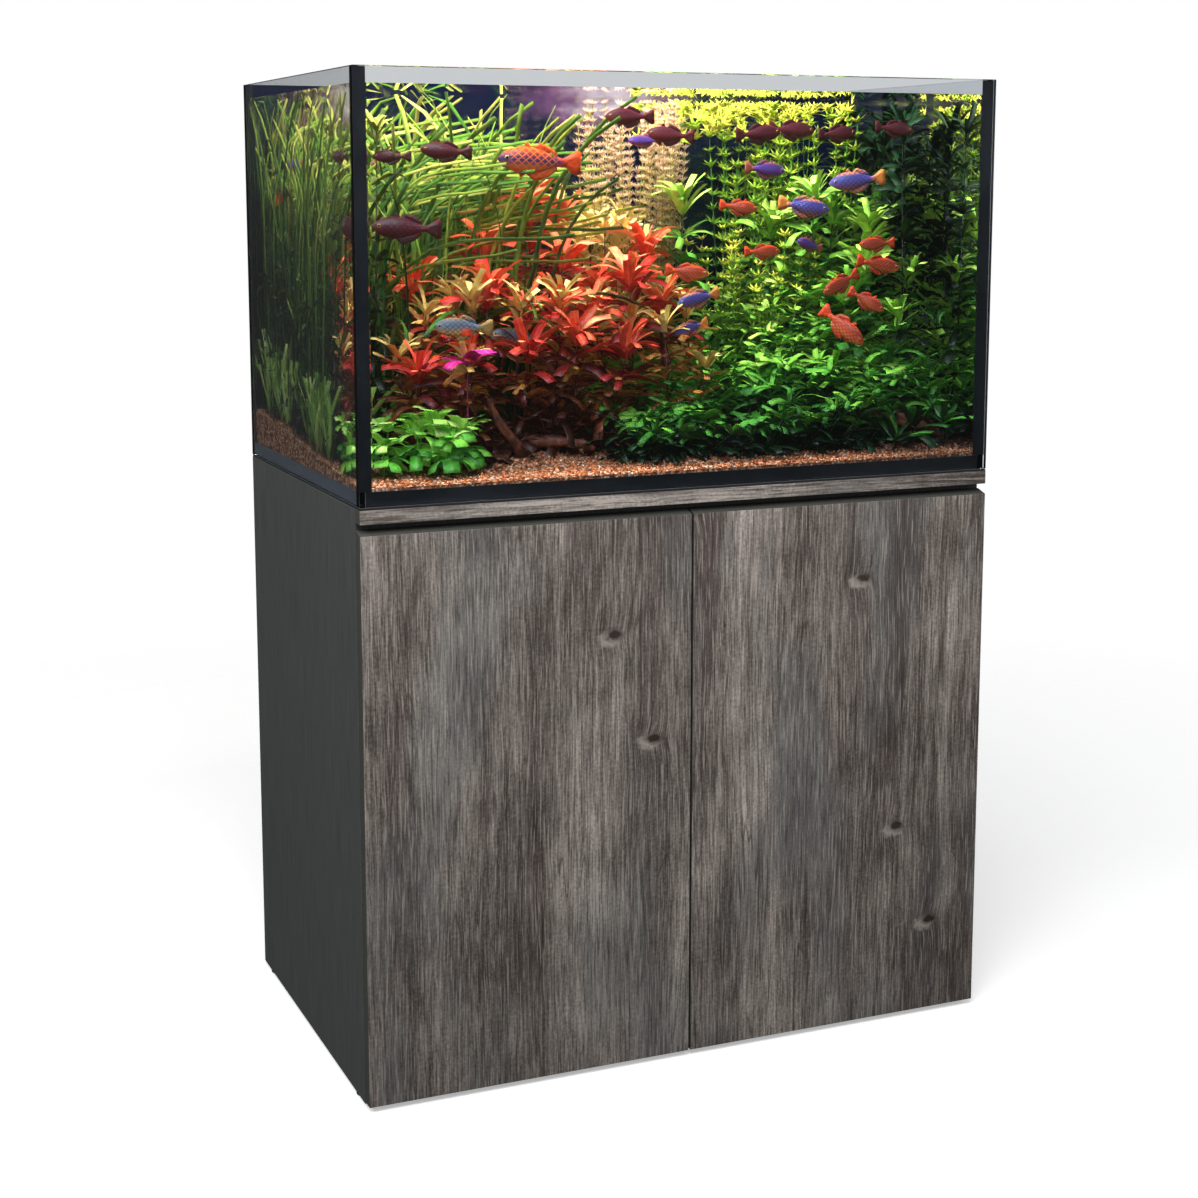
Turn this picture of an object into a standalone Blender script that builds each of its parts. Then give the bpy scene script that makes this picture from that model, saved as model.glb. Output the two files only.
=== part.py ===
"""An open-topped glass aquarium standing on a two-door cabinet.

Metres, +Z up. The origin is on the floor, under the middle of the cabinet. The doors face -Y.
Each door turns about an upright axis near its outer edge, on two concealed hinges. The object of a
door has its origin on that axis, and everything that swings with the door is its child.
"""

import math

import bmesh
import bpy
from mathutils import Matrix, Vector

# Overall sizes
WIDTH = 0.900
DEPTH = 0.550
CABINET_HEIGHT = 0.777
TANK_HEIGHT = 0.530

# Gap left between two pieces that touch on the real object
FIT = 0.0003

# Cabinet boards
BOARD = 0.018
BACK_BOARD = 0.016
EDGE_ROUND = 0.0006
RAIL_HEIGHT = 0.060
FASCIA_HEIGHT = 0.018

# Doors
DOOR_THICKNESS = 0.018
DOOR_FLOOR_GAP = 0.008
DOOR_SPLIT = 0.003
DOOR_TOP_SLOPE = 0.0055
FINGER_GAP = 0.014

# Concealed hinges: the pin is set in from the door's edge and sunk below the door's back
PIVOT_INSET = 0.0062
PIVOT_SINK = 0.0095
SWING_CLEARANCE = 0.00066
HINGE_END_INSET = 0.095
PIN_RADIUS = 0.0009
EYE_CLEARANCE = 0.0003
EYE_RADIUS = 0.0019
CUP_RADIUS = 0.0175
CUP_DEPTH = 0.013
CUP_WALL = 0.0008
CUP_EDGE = 0.0025
CUP_HOLE_CLEARANCE = 0.0003
FLANGE_LENGTH = 0.056
FLANGE_WIDTH = 0.016
FLANGE_THICKNESS = 0.0007
ARM_THICKNESS = 0.0016
ARM_WIDTH = 0.008
ARM_FLOOR_CLEARANCE = 0.0009
ARM_PANEL_CLEARANCE = 0.004
ARM_BODY_WIDTH = 0.014
ARM_BODY_DEPTH = 0.0104
ARM_BODY_LENGTH = 0.055
ARM_BODY_START = 0.003
PLATE_THICKNESS = 0.002
PLATE_HEIGHT = 0.048
PLATE_LENGTH = 0.038
PLATE_START = 0.014

# Small fittings
FOOT_HEIGHT = 0.005
FOOT_RADIUS = 0.0085
FOOT_INSET = 0.040
BUMPER_RADIUS = 0.0032
BUMPER_THICKNESS = 0.0012
BUMPER_END_INSET = 0.030
CATCH_SIZE = (0.013, 0.015, 0.044)
CATCH_SETBACK = 0.0005
CATCH_END_INSET = 0.105
STRIKE_SIZE = (0.012, 0.0012, 0.030)
PORT_RADIUS = 0.030
PORT_INSET = 0.110
PORT_DROP = 0.080
GROMMET_WALL = 0.0025
GROMMET_LIP = 0.006
GROMMET_LIP_THICKNESS = 0.002

# Tank
MAT_THICKNESS = 0.003
GLASS = 0.010
BASE_GLASS = 0.012
GLASS_ARRIS = 0.0008
SIDE_JOINT = 0.0015
BASE_JOINT = 0.002
BASE_SEAL_RISE = 0.006
BEAD_LEG = 0.008
BEAD_TOP_SETBACK = 0.001
FILM = 0.0006
GRAVEL_CLEARANCE = 0.0005
GRAVEL_FRONT = 0.022
GRAVEL_BACK = 0.060

# What follows from those
DOOR_STANDOFF = math.hypot(PIVOT_INSET, PIVOT_SINK) - PIVOT_SINK + SWING_CLEARANCE
FRONT = -DEPTH / 2
BACK = DEPTH / 2
CARCASS_FRONT = FRONT + DOOR_THICKNESS + DOOR_STANDOFF
BACK_PANEL_FRONT = BACK - BACK_BOARD
SIDE_INNER = WIDTH / 2 - BOARD
BOTTOM_TOP = FOOT_HEIGHT + BOARD
TOP_BOTTOM = CABINET_HEIGHT - BOARD
FASCIA_BOTTOM = CABINET_HEIGHT - FASCIA_HEIGHT
DOOR_TOP = FASCIA_BOTTOM - FINGER_GAP
DOOR_BACK_TOP = DOOR_TOP + DOOR_TOP_SLOPE
DOOR_WIDTH = (WIDTH - DOOR_SPLIT) / 2
PIVOT_X = WIDTH / 2 - PIVOT_INSET
PIVOT_Y = CARCASS_FRONT - DOOR_STANDOFF - PIVOT_SINK
TANK_FLOOR = CABINET_HEIGHT + MAT_THICKNESS + FIT
TANK_TOP = TANK_FLOOR + TANK_HEIGHT
TANK_INNER_X = WIDTH / 2 - GLASS
TANK_INNER_FRONT = FRONT + GLASS
BACK_GLASS_BACK = BACK - FILM - FIT
TANK_INNER_BACK = BACK_GLASS_BACK - GLASS
BASE_SEAL_TOP = TANK_FLOOR + BASE_GLASS + BASE_SEAL_RISE


for old in list(bpy.data.objects):
    bpy.data.objects.remove(old, do_unlink=True)


def material(name, colour, roughness, metallic=0.0, transmission=0.0):
    """A Principled material of one plain colour."""
    made = bpy.data.materials.new(name)
    made.use_nodes = True
    shader = made.node_tree.nodes["Principled BSDF"]
    shader.inputs["Base Color"].default_value = (*colour, 1)
    shader.inputs["Roughness"].default_value = roughness
    shader.inputs["Metallic"].default_value = metallic
    shader.inputs["Transmission Weight"].default_value = transmission
    return made


DRIFTWOOD = material("driftwood_decor", (0.23, 0.20, 0.18), 0.55)
ANTHRACITE = material("anthracite_board", (0.055, 0.058, 0.060), 0.45)
GLASS_CLEAR = material("clear_glass", (0.86, 0.95, 0.93), 0.02, transmission=1.0)
SILICONE = material("black_silicone", (0.012, 0.013, 0.015), 0.40)
FILM_DARK = material("background_film", (0.006, 0.010, 0.016), 0.35)
GRAVEL = material("orange_gravel", (0.36, 0.17, 0.075), 0.80)
NICKEL = material("nickel_steel", (0.62, 0.61, 0.59), 0.28, metallic=1.0)
PLASTIC = material("black_plastic", (0.020, 0.020, 0.022), 0.50)
FOAM = material("foam_mat", (0.015, 0.015, 0.016), 0.90)
CLEAR_RUBBER = material("bumper_rubber", (0.70, 0.70, 0.66), 0.45)


def place(name, mesh, finish, location=(0, 0, 0), parent=None):
    """An object for a mesh, at a place given in its parent's frame."""
    made = bpy.data.objects.new(name, mesh)
    mesh.materials.clear()
    mesh.materials.append(finish)
    made.location = location
    made.parent = parent
    bpy.context.scene.collection.objects.link(made)
    return made


def mesh_of(shape, name):
    """The mesh of a bmesh, with every face turned outwards."""
    bmesh.ops.recalc_face_normals(shape, faces=shape.faces)
    mesh = bpy.data.meshes.new(name)
    shape.to_mesh(mesh)
    shape.free()
    return mesh


def block(size, centre=(0, 0, 0)):
    """A rectangular block."""
    shape = bmesh.new()
    grown = Matrix.Translation(centre) @ Matrix.Diagonal((*size, 1))
    bmesh.ops.create_cube(shape, size=1, matrix=grown)
    return shape


def rod(radius, length, centre, axis, segments=32):
    """A cylinder about the x, y or z axis."""
    turn = {
        "x": Matrix.Rotation(math.pi / 2, 4, "Y"),
        "y": Matrix.Rotation(math.pi / 2, 4, "X"),
        "z": Matrix.Identity(4),
    }[axis]
    shape = bmesh.new()
    bmesh.ops.create_cone(
        shape,
        cap_ends=True,
        segments=segments,
        radius1=radius,
        radius2=radius,
        depth=length,
        matrix=Matrix.Translation(centre) @ turn,
    )
    return shape


def prism(outline, low, high, axis):
    """An outline drawn across an axis, extruded along it. A point is (y, z), (x, z) or (x, y)."""
    spot = {
        "x": lambda a, b, along: (along, a, b),
        "y": lambda a, b, along: (a, along, b),
        "z": lambda a, b, along: (a, b, along),
    }[axis]
    shape = bmesh.new()
    corners = [shape.verts.new(spot(a, b, low)) for a, b in outline]
    face = shape.faces.new(corners)
    raised = bmesh.ops.extrude_face_region(shape, geom=[face])["geom"]
    lifted = [v for v in raised if isinstance(v, bmesh.types.BMVert)]
    bmesh.ops.translate(shape, verts=lifted, vec=spot(0, 0, high - low))
    return shape


def turned(profile, segments=32):
    """A closed profile of (radius, height) points, spun about the z axis."""
    shape = bmesh.new()
    ring = [shape.verts.new((radius, 0, height)) for radius, height in profile]
    edges = [shape.edges.new((a, b)) for a, b in zip(ring, ring[1:] + ring[:1])]
    bmesh.ops.spin(
        shape,
        geom=ring + edges,
        cent=(0, 0, 0),
        axis=(0, 0, 1),
        angle=math.tau,
        steps=segments,
        use_merge=True,
    )
    bmesh.ops.remove_doubles(shape, verts=shape.verts, dist=1e-6)
    loose = [e for e in shape.edges if not e.link_faces]
    bmesh.ops.delete(shape, geom=loose, context="EDGES")
    return shape


def carved(name, shape, steps):
    """The mesh left when each (operation, shape) of steps is applied to a shape in turn."""
    body = place(name, mesh_of(shape, name), PLASTIC)
    tools = []
    for operation, tool_shape in steps:
        tool = place(name + "_tool", mesh_of(tool_shape, name + "_tool"), PLASTIC)
        cut = body.modifiers.new(operation.lower(), "BOOLEAN")
        cut.operation = operation
        cut.object = tool
        tools.append(tool)
    graph = bpy.context.evaluated_depsgraph_get()
    mesh = bpy.data.meshes.new_from_object(body.evaluated_get(graph))
    mesh.name = name
    for spare in (body, *tools):
        bpy.data.objects.remove(spare, do_unlink=True)
    return mesh


def round_edges(made, width, segments=2):
    """A small round on every sharp edge."""
    bevel = made.modifiers.new("edge_round", "BEVEL")
    bevel.width = width
    bevel.segments = segments
    bevel.limit_method = "ANGLE"
    bevel.angle_limit = math.radians(40)


def smooth(mesh):
    """Smooth shading that keeps the sharp edges."""
    mesh.shade_smooth()
    mesh.set_sharp_from_angle(angle=math.radians(35))


def board(name, low, high, finish, edge=EDGE_ROUND):
    """A board or pane between two corners, with its origin at its middle."""
    low, high = Vector(low), Vector(high)
    made = place(name, mesh_of(block(high - low), name), finish, (low + high) / 2)
    round_edges(made, edge)
    return made


def cutter(name, shape, location, parent=None):
    """A guide solid that only cuts others."""
    made = place(name, mesh_of(shape, name), PLASTIC, location, parent)
    made.hide_render = True
    made.display_type = "WIRE"
    return made


def cut(made, tool):
    """Takes a guide solid out of an object."""
    hole = made.modifiers.new(tool.name, "BOOLEAN")
    hole.operation = "DIFFERENCE"
    hole.object = tool


# Cabinet carcass


def make_carcass():
    """Two side panels with the bottom, top, back and middle boards held between them."""
    for name, side in (("left_side_panel", -1), ("right_side_panel", 1)):
        edges = sorted((side * SIDE_INNER, side * WIDTH / 2))
        low = (edges[0], CARCASS_FRONT, FOOT_HEIGHT)
        high = (edges[1], BACK, CABINET_HEIGHT)
        board(name, low, high, ANTHRACITE)
    inner = SIDE_INNER - FIT
    low = (-inner, CARCASS_FRONT, FOOT_HEIGHT)
    board("bottom_board", low, (inner, BACK, BOTTOM_TOP), ANTHRACITE)
    low = (-inner, CARCASS_FRONT, TOP_BOTTOM)
    board("top_board", low, (inner, BACK, CABINET_HEIGHT), ANTHRACITE)
    low = (-inner, CARCASS_FRONT, TOP_BOTTOM - FIT - RAIL_HEIGHT)
    high = (inner, CARCASS_FRONT + BOARD, TOP_BOTTOM - FIT)
    board("front_rail", low, high, ANTHRACITE)


def make_back_panel():
    """The back board, with two round ports for hoses and cables, and a grommet in each."""
    low = (-SIDE_INNER + FIT, BACK_PANEL_FRONT, BOTTOM_TOP + FIT)
    high = (SIDE_INNER - FIT, BACK, TOP_BOTTOM - FIT)
    panel = board("back_panel", low, high, ANTHRACITE)
    outer = PORT_RADIUS - FIT
    bore = outer - GROMMET_WALL
    lip = PORT_RADIUS + GROMMET_LIP
    inside = -BACK_BOARD / 2 - FIT
    profile = [
        (bore, inside - GROMMET_LIP_THICKNESS),
        (lip, inside - GROMMET_LIP_THICKNESS),
        (lip, inside),
        (outer, inside),
        (outer, BACK_BOARD / 2),
        (bore, BACK_BOARD / 2),
    ]
    ring = mesh_of(turned(profile, 40), "hose_grommet")
    ring.transform(Matrix.Rotation(-math.pi / 2, 4, "X"))
    smooth(ring)
    for name, side in (("left", -1), ("right", 1)):
        middle = Vector((
            side * (SIDE_INNER - PORT_INSET),
            BACK - BACK_BOARD / 2,
            TOP_BOTTOM - PORT_DROP,
        ))
        hole = rod(PORT_RADIUS, BACK_BOARD * 2, (0, 0, 0), "y", 40)
        cut(panel, cutter(name + "_port_cutter", hole, middle))
        place(name + "_hose_grommet", ring.copy(), PLASTIC, middle)


def make_partition():
    """The upright board in the middle, notched at the top for the front rail."""
    notch_y = CARCASS_FRONT + BOARD + FIT
    notch_z = TOP_BOTTOM - RAIL_HEIGHT - 2 * FIT
    back = BACK_PANEL_FRONT - FIT
    outline = [
        (CARCASS_FRONT, BOTTOM_TOP + FIT),
        (back, BOTTOM_TOP + FIT),
        (back, TOP_BOTTOM - FIT),
        (notch_y, TOP_BOTTOM - FIT),
        (notch_y, notch_z),
        (CARCASS_FRONT, notch_z),
    ]
    shape = prism(outline, -BOARD / 2, BOARD / 2, "x")
    made = place("centre_partition", mesh_of(shape, "centre_partition"), ANTHRACITE)
    round_edges(made, EDGE_ROUND)


def make_fascia():
    """The strip across the top, flush with the doors and in front of the side panels' edges."""
    low = (-WIDTH / 2, FRONT, FASCIA_BOTTOM)
    high = (WIDTH / 2, CARCASS_FRONT - FIT, CABINET_HEIGHT)
    board("front_fascia", low, high, DRIFTWOOD)


def make_feet():
    """A glide near each end of both side panels and of the middle of the bottom board."""
    radius = FOOT_RADIUS
    top = FOOT_HEIGHT - FIT
    profile = [(0, 0), (radius * 0.85, 0), (radius, top * 0.3), (radius, top), (0, top)]
    glide = mesh_of(turned(profile, 24), "glide")
    smooth(glide)
    columns = (("left", BOARD / 2 - WIDTH / 2), ("middle", 0), ("right", WIDTH / 2 - BOARD / 2))
    rows = (("front", CARCASS_FRONT + FOOT_INSET), ("rear", BACK - FOOT_INSET))
    for row, y in rows:
        for column, x in columns:
            place(f"{row}_{column}_glide", glide.copy(), PLASTIC, (x, y, 0))


# Doors and hinges. In these meshes, u runs from the door's outer edge inwards and q from the
# carcass front towards the doors, both measured from the pin. The left side has u along +X and q
# along -Y, and the right side is the same mesh turned half a turn about y.

CUP_CENTRE_U = CUP_EDGE + CUP_RADIUS - PIVOT_INSET
CUP_FLOOR_Q = CUP_DEPTH - PIVOT_SINK
DOOR_BACK_Q = -PIVOT_SINK
CARCASS_Q = -PIVOT_SINK - DOOR_STANDOFF
PANEL_U = BOARD - PIVOT_INSET
HALF_TURN = Matrix.Rotation(math.pi, 4, "Y")


def handed(mesh, side):
    """The mesh for the left side, or its copy turned round for the right."""
    made = mesh.copy()
    if side > 0:
        made.transform(HALF_TURN)
    return made


def hinge_cup():
    """A pressed cup with a screw flange across its mouth and the pin near one wall."""
    flange_q = DOOR_BACK_Q - FIT - FLANGE_THICKNESS
    depth = CUP_FLOOR_Q - flange_q
    middle = -(CUP_FLOOR_Q + flange_q) / 2
    shell = rod(CUP_RADIUS, depth, (CUP_CENTRE_U, middle, 0), "y", 40)
    flange_centre = (CUP_CENTRE_U, -flange_q - FLANGE_THICKNESS / 2, 0)
    flange = block((FLANGE_WIDTH, FLANGE_THICKNESS, FLANGE_LENGTH), flange_centre)
    inner = CUP_RADIUS - CUP_WALL
    middle = -(CUP_FLOOR_Q - CUP_WALL - depth / 2)
    hollow = rod(inner, depth, (CUP_CENTRE_U, middle, 0), "y", 40)
    reach = math.sqrt(CUP_RADIUS**2 - CUP_CENTRE_U**2) - CUP_WALL
    pin = rod(PIN_RADIUS, 2 * reach, (0, 0, 0), "z", 16)
    steps = [("UNION", flange), ("DIFFERENCE", hollow), ("UNION", pin)]
    return carved("hinge_cup", shell, steps)


def hinge_arm():
    """A bent arm from an eye on the pin, along the cup floor, up a short leg and into the cabinet."""
    half = ARM_THICKNESS / 2
    run_q = CUP_FLOOR_Q - CUP_WALL - ARM_FLOOR_CLEARANCE - half
    leg_u = PANEL_U + ARM_PANEL_CLEARANCE
    body_q = CARCASS_Q - ARM_BODY_START
    turn = 0.0025
    outline = [
        (0, -run_q + half),
        (0, -run_q - half),
        (leg_u - turn, -run_q - half),
        (leg_u + half, -run_q - half + turn + half),
        (leg_u + half, -body_q + half),
        (leg_u - half, -body_q + half),
        (leg_u - half, -run_q + half + turn),
        (leg_u - half - turn, -run_q + half),
    ]
    strip = prism(outline, -ARM_WIDTH / 2, ARM_WIDTH / 2, "z")
    eye = rod(EYE_RADIUS, ARM_WIDTH, (0, 0, 0), "z", 24)
    bore = rod(PIN_RADIUS + EYE_CLEARANCE, ARM_WIDTH * 2, (0, 0, 0), "z", 24)
    low_u = PANEL_U + PLATE_THICKNESS + 2 * FIT
    size = (ARM_BODY_DEPTH, ARM_BODY_LENGTH, ARM_BODY_WIDTH)
    centre = (low_u + ARM_BODY_DEPTH / 2, -body_q + ARM_BODY_LENGTH / 2, 0)
    steps = [("UNION", eye), ("UNION", block(size, centre)), ("DIFFERENCE", bore)]
    return carved("hinge_arm", strip, steps)


def hinge_plate():
    """The plate screwed to the side panel, which the arm clips on."""
    size = (PLATE_THICKNESS, PLATE_LENGTH, PLATE_HEIGHT)
    u = PANEL_U + FIT + PLATE_THICKNESS / 2
    y = -CARCASS_Q + PLATE_START + PLATE_LENGTH / 2
    return mesh_of(block(size, (u, y, 0)), "hinge_plate")


def make_doors():
    """The two doors, what swings with them, and the hinge halves and catches that don't."""
    cup, arm, plate = hinge_cup(), hinge_arm(), hinge_plate()
    smooth(cup)
    smooth(arm)
    pad = mesh_of(rod(BUMPER_RADIUS, BUMPER_THICKNESS, (0, 0, 0), "y", 20), "bumper")
    heights = {
        "lower": DOOR_FLOOR_GAP + HINGE_END_INSET,
        "upper": DOOR_TOP - HINGE_END_INSET,
    }
    door_back = PIVOT_SINK
    door_front = PIVOT_SINK - DOOR_THICKNESS
    outline = [
        (door_back, DOOR_FLOOR_GAP),
        (door_front, DOOR_FLOOR_GAP),
        (door_front, DOOR_TOP),
        (door_back, DOOR_BACK_TOP),
    ]
    for name, side in (("left", -1), ("right", 1)):
        inward = -side
        edges = sorted((-inward * PIVOT_INSET, inward * (DOOR_WIDTH - PIVOT_INSET)))
        slab = mesh_of(prism(outline, *edges, "x"), name + "_door")
        door = place(name + "_door", slab, DRIFTWOOD, (side * PIVOT_X, PIVOT_Y, 0))
        round_edges(door, EDGE_ROUND)
        for level, z in heights.items():
            depth = 2 * (CUP_DEPTH + CUP_HOLE_CLEARANCE)
            hole = rod(CUP_RADIUS + CUP_HOLE_CLEARANCE, depth, (0, 0, 0), "y", 40)
            spot = (inward * CUP_CENTRE_U, door_back, z)
            cut(door, cutter(f"{name}_{level}_cup_cutter", hole, spot, door))
            label = f"{name}_{level}_hinge"
            place(label + "_cup", handed(cup, side), NICKEL, (0, 0, z), door)
            fixed = (side * PIVOT_X, PIVOT_Y, z)
            place(label + "_arm", handed(arm, side), NICKEL, fixed)
            place(label + "_plate", handed(plate, side), NICKEL, fixed)
        to_edge = inward * (DOOR_WIDTH - PIVOT_INSET)
        pad_x = to_edge - inward * (BOARD - DOOR_SPLIT) / 4
        pad_y = door_back + FIT + BUMPER_THICKNESS / 2
        pads = {
            "lower": BOTTOM_TOP + BUMPER_END_INSET,
            "upper": DOOR_TOP - BUMPER_END_INSET,
        }
        for level, z in pads.items():
            label = f"{name}_{level}_bumper"
            place(label, pad.copy(), CLEAR_RUBBER, (pad_x, pad_y, z), door)
        make_catch(name, side, door, door_back)


def make_catch(name, side, door, door_back):
    """A magnetic catch on the partition, and its strike plate on the door."""
    z = DOOR_TOP - CATCH_END_INSET
    wide, deep, _ = CATCH_SIZE
    x = side * (BOARD / 2 + FIT + wide / 2)
    y = CARCASS_FRONT + CATCH_SETBACK + deep / 2
    body = mesh_of(block(CATCH_SIZE), "catch")
    made = place(name + "_magnet_catch", body, PLASTIC, (x, y, z))
    round_edges(made, EDGE_ROUND, 1)
    spot = (x - side * PIVOT_X, door_back + FIT + STRIKE_SIZE[1] / 2, z)
    strike = mesh_of(block(STRIKE_SIZE), "strike")
    place(name + "_strike_plate", strike, NICKEL, spot, door)


# Tank


def make_mat():
    """The thin foam mat between the cabinet and the tank."""
    low = (-WIDTH / 2 + FIT, FRONT + FIT, CABINET_HEIGHT + FIT)
    high = (WIDTH / 2 - FIT, BACK - FIT, CABINET_HEIGHT + MAT_THICKNESS)
    board("foam_mat", low, high, FOAM, MAT_THICKNESS / 6)


def make_glass():
    """A base inside four upright panes, the side panes held between the front and the back."""
    rim = WIDTH / 2
    low = (-rim, FRONT, TANK_FLOOR)
    board("front_glass", low, (rim, TANK_INNER_FRONT, TANK_TOP), GLASS_CLEAR, GLASS_ARRIS)
    low = (-rim, TANK_INNER_BACK, TANK_FLOOR)
    board("back_glass", low, (rim, BACK_GLASS_BACK, TANK_TOP), GLASS_CLEAR, GLASS_ARRIS)
    for name, side in (("left_glass", -1), ("right_glass", 1)):
        edges = sorted((side * TANK_INNER_X, side * rim))
        low = (edges[0], TANK_INNER_FRONT + SIDE_JOINT, TANK_FLOOR)
        high = (edges[1], TANK_INNER_BACK - SIDE_JOINT, TANK_TOP)
        board(name, low, high, GLASS_CLEAR, GLASS_ARRIS)
    x = TANK_INNER_X - BASE_JOINT
    low = (-x, TANK_INNER_FRONT + BASE_JOINT, TANK_FLOOR)
    high = (x, TANK_INNER_BACK - BASE_JOINT, TANK_FLOOR + BASE_GLASS)
    board("base_glass", low, high, GLASS_CLEAR, GLASS_ARRIS)
    low = (-rim, BACK - FILM, TANK_FLOOR)
    film = place("background_film", mesh_of(block((2 * rim, FILM, TANK_HEIGHT)), "film"), FILM_DARK)
    film.location = Vector(low) + Vector((rim, FILM / 2, TANK_HEIGHT / 2))


def make_base_seal():
    """The silicone round the base, as a ring that stands a little above it."""
    height = BASE_GLASS + BASE_SEAL_RISE
    centre = (0, (TANK_INNER_FRONT + TANK_INNER_BACK) / 2, TANK_FLOOR + height / 2)
    length = TANK_INNER_BACK - TANK_INNER_FRONT
    outer = (2 * TANK_INNER_X - 2 * FIT, length - 2 * FIT, height)
    inner = 2 * (BASE_JOINT - FIT)
    hollow = (2 * TANK_INNER_X - inner, length - inner, 2 * height)
    ring = carved("base_seal", block(outer), [("DIFFERENCE", block(hollow))])
    place("base_seal", ring, SILICONE, centre)


def make_corner_beads():
    """The upright silicone joints, each with a hollow round on the inside of the corner."""
    start = GLASS + FIT
    end = GLASS + BEAD_LEG
    reach = end - start
    round_steps = 5
    outline = [(FIT, start), (end, start)]
    for step in range(1, round_steps):
        angle = math.pi / 2 * step / round_steps
        outline.append((end - reach * math.sin(angle), end - reach * math.cos(angle)))
    joint = GLASS + SIDE_JOINT - FIT
    outline += [(start, end), (start, joint), (FIT, joint)]
    low = BASE_SEAL_TOP + FIT
    high = TANK_TOP - BEAD_TOP_SETBACK
    corners = (
        ("front_left", 1, 1),
        ("front_right", -1, 1),
        ("rear_left", 1, -1),
        ("rear_right", -1, -1),
    )
    for name, toward_x, toward_y in corners:
        x = -toward_x * WIDTH / 2
        y = FRONT if toward_y > 0 else BACK_GLASS_BACK
        drawn = [(toward_x * a, toward_y * b) for a, b in outline]
        mesh = mesh_of(prism(drawn, low, high, "z"), name)
        smooth(mesh)
        place(name + "_corner_seal", mesh, SILICONE, (x, y, 0))


def make_gravel():
    """The gravel bed as one solid, rising to the back, its corners clear of the silicone."""
    x = TANK_INNER_X - BASE_JOINT - GRAVEL_CLEARANCE
    front = TANK_INNER_FRONT + BASE_JOINT + GRAVEL_CLEARANCE
    back = TANK_INNER_BACK - BASE_JOINT - GRAVEL_CLEARANCE
    chamfer = BEAD_LEG
    outline = [
        (-x + chamfer, front),
        (x - chamfer, front),
        (x, front + chamfer),
        (x, back - chamfer),
        (x - chamfer, back),
        (-x + chamfer, back),
        (-x, back - chamfer),
        (-x, front + chamfer),
    ]
    low = TANK_FLOOR + BASE_GLASS + FIT
    shape = prism(outline, low, TANK_FLOOR + GRAVEL_BACK, "z")
    slope = (GRAVEL_BACK - GRAVEL_FRONT) / (back - front)
    for vert in shape.verts:
        if vert.co.z > (low + TANK_FLOOR + GRAVEL_BACK) / 2:
            vert.co.z = TANK_FLOOR + GRAVEL_FRONT + slope * (vert.co.y - front)
    place("gravel_bed", mesh_of(shape, "gravel_bed"), GRAVEL)


make_carcass()
make_back_panel()
make_partition()
make_fascia()
make_feet()
make_doors()
make_mat()
make_glass()
make_base_seal()
make_corner_beads()
make_gravel()
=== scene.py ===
# %% [markdown]
# # An aquarium on a two-door cabinet
# The cabinet, the doors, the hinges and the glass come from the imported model, which is the frame here.
# They keep their shapes and get real finishes. What a design drawing leaves out is made here: the water,
# the gravel's grains, the plants, the root wood and the fish. They are placed inside the frame's own boxes.

# %% Load the frame
import math
import random

import bpy
from mathutils import Euler, Matrix, Vector


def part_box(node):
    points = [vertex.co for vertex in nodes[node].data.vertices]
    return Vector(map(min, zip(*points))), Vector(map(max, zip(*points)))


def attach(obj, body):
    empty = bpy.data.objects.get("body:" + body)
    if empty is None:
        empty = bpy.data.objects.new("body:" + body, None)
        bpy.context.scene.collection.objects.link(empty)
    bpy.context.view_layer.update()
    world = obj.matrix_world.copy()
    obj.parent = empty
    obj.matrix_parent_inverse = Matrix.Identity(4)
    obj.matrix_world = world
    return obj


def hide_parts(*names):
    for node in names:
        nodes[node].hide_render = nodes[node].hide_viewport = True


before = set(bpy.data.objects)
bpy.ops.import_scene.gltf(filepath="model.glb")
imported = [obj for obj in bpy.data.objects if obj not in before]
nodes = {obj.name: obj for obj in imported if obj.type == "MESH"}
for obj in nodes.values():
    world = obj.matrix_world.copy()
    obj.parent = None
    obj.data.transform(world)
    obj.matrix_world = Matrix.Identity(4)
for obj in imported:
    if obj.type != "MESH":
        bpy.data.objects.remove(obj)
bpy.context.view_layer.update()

# %% [markdown]
# The tank's own sizes are read from the panes, so that everything inside follows the glass. The water
# stands a little below the rim, as it does in any open tank. The gravel lies on the base pane and comes
# just over the silicone at the front.

# %% Read the tank's sizes
front_low, front_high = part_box("front_glass")
back_low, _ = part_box("back_glass")
_, left_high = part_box("left_glass")
right_low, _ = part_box("right_glass")
_, base_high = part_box("base_glass")
_, seal_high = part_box("base_seal")
LEFT, RIGHT = left_high.x, right_low.x
FRONT, BACK = front_high.y, back_low.y
RIM = front_high.z
WATER_GAP = 0.020  # from the water up to the rim
WATER_LEVEL = RIM - WATER_GAP
BED_BASE = base_high.z
BED_OVER_SEAL = 0.004
BED_FRONT = seal_high.z + BED_OVER_SEAL
BED_RISE = 0.045  # how much higher the gravel lies at the back
BEAD = 0.009  # the silicone's width in an upright corner
print(f"inside {RIGHT - LEFT:.3f} x {BACK - FRONT:.3f} m, water {WATER_LEVEL - BED_BASE:.3f} m deep")


# %% [markdown]
# ## Camera and light
# The camera comes first, because every later choice is judged through it. It stands to the left of the
# middle, at the height of the tank, so the left side shows as a narrow strip. A long lens keeps the
# upright edges nearly parallel.

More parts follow.
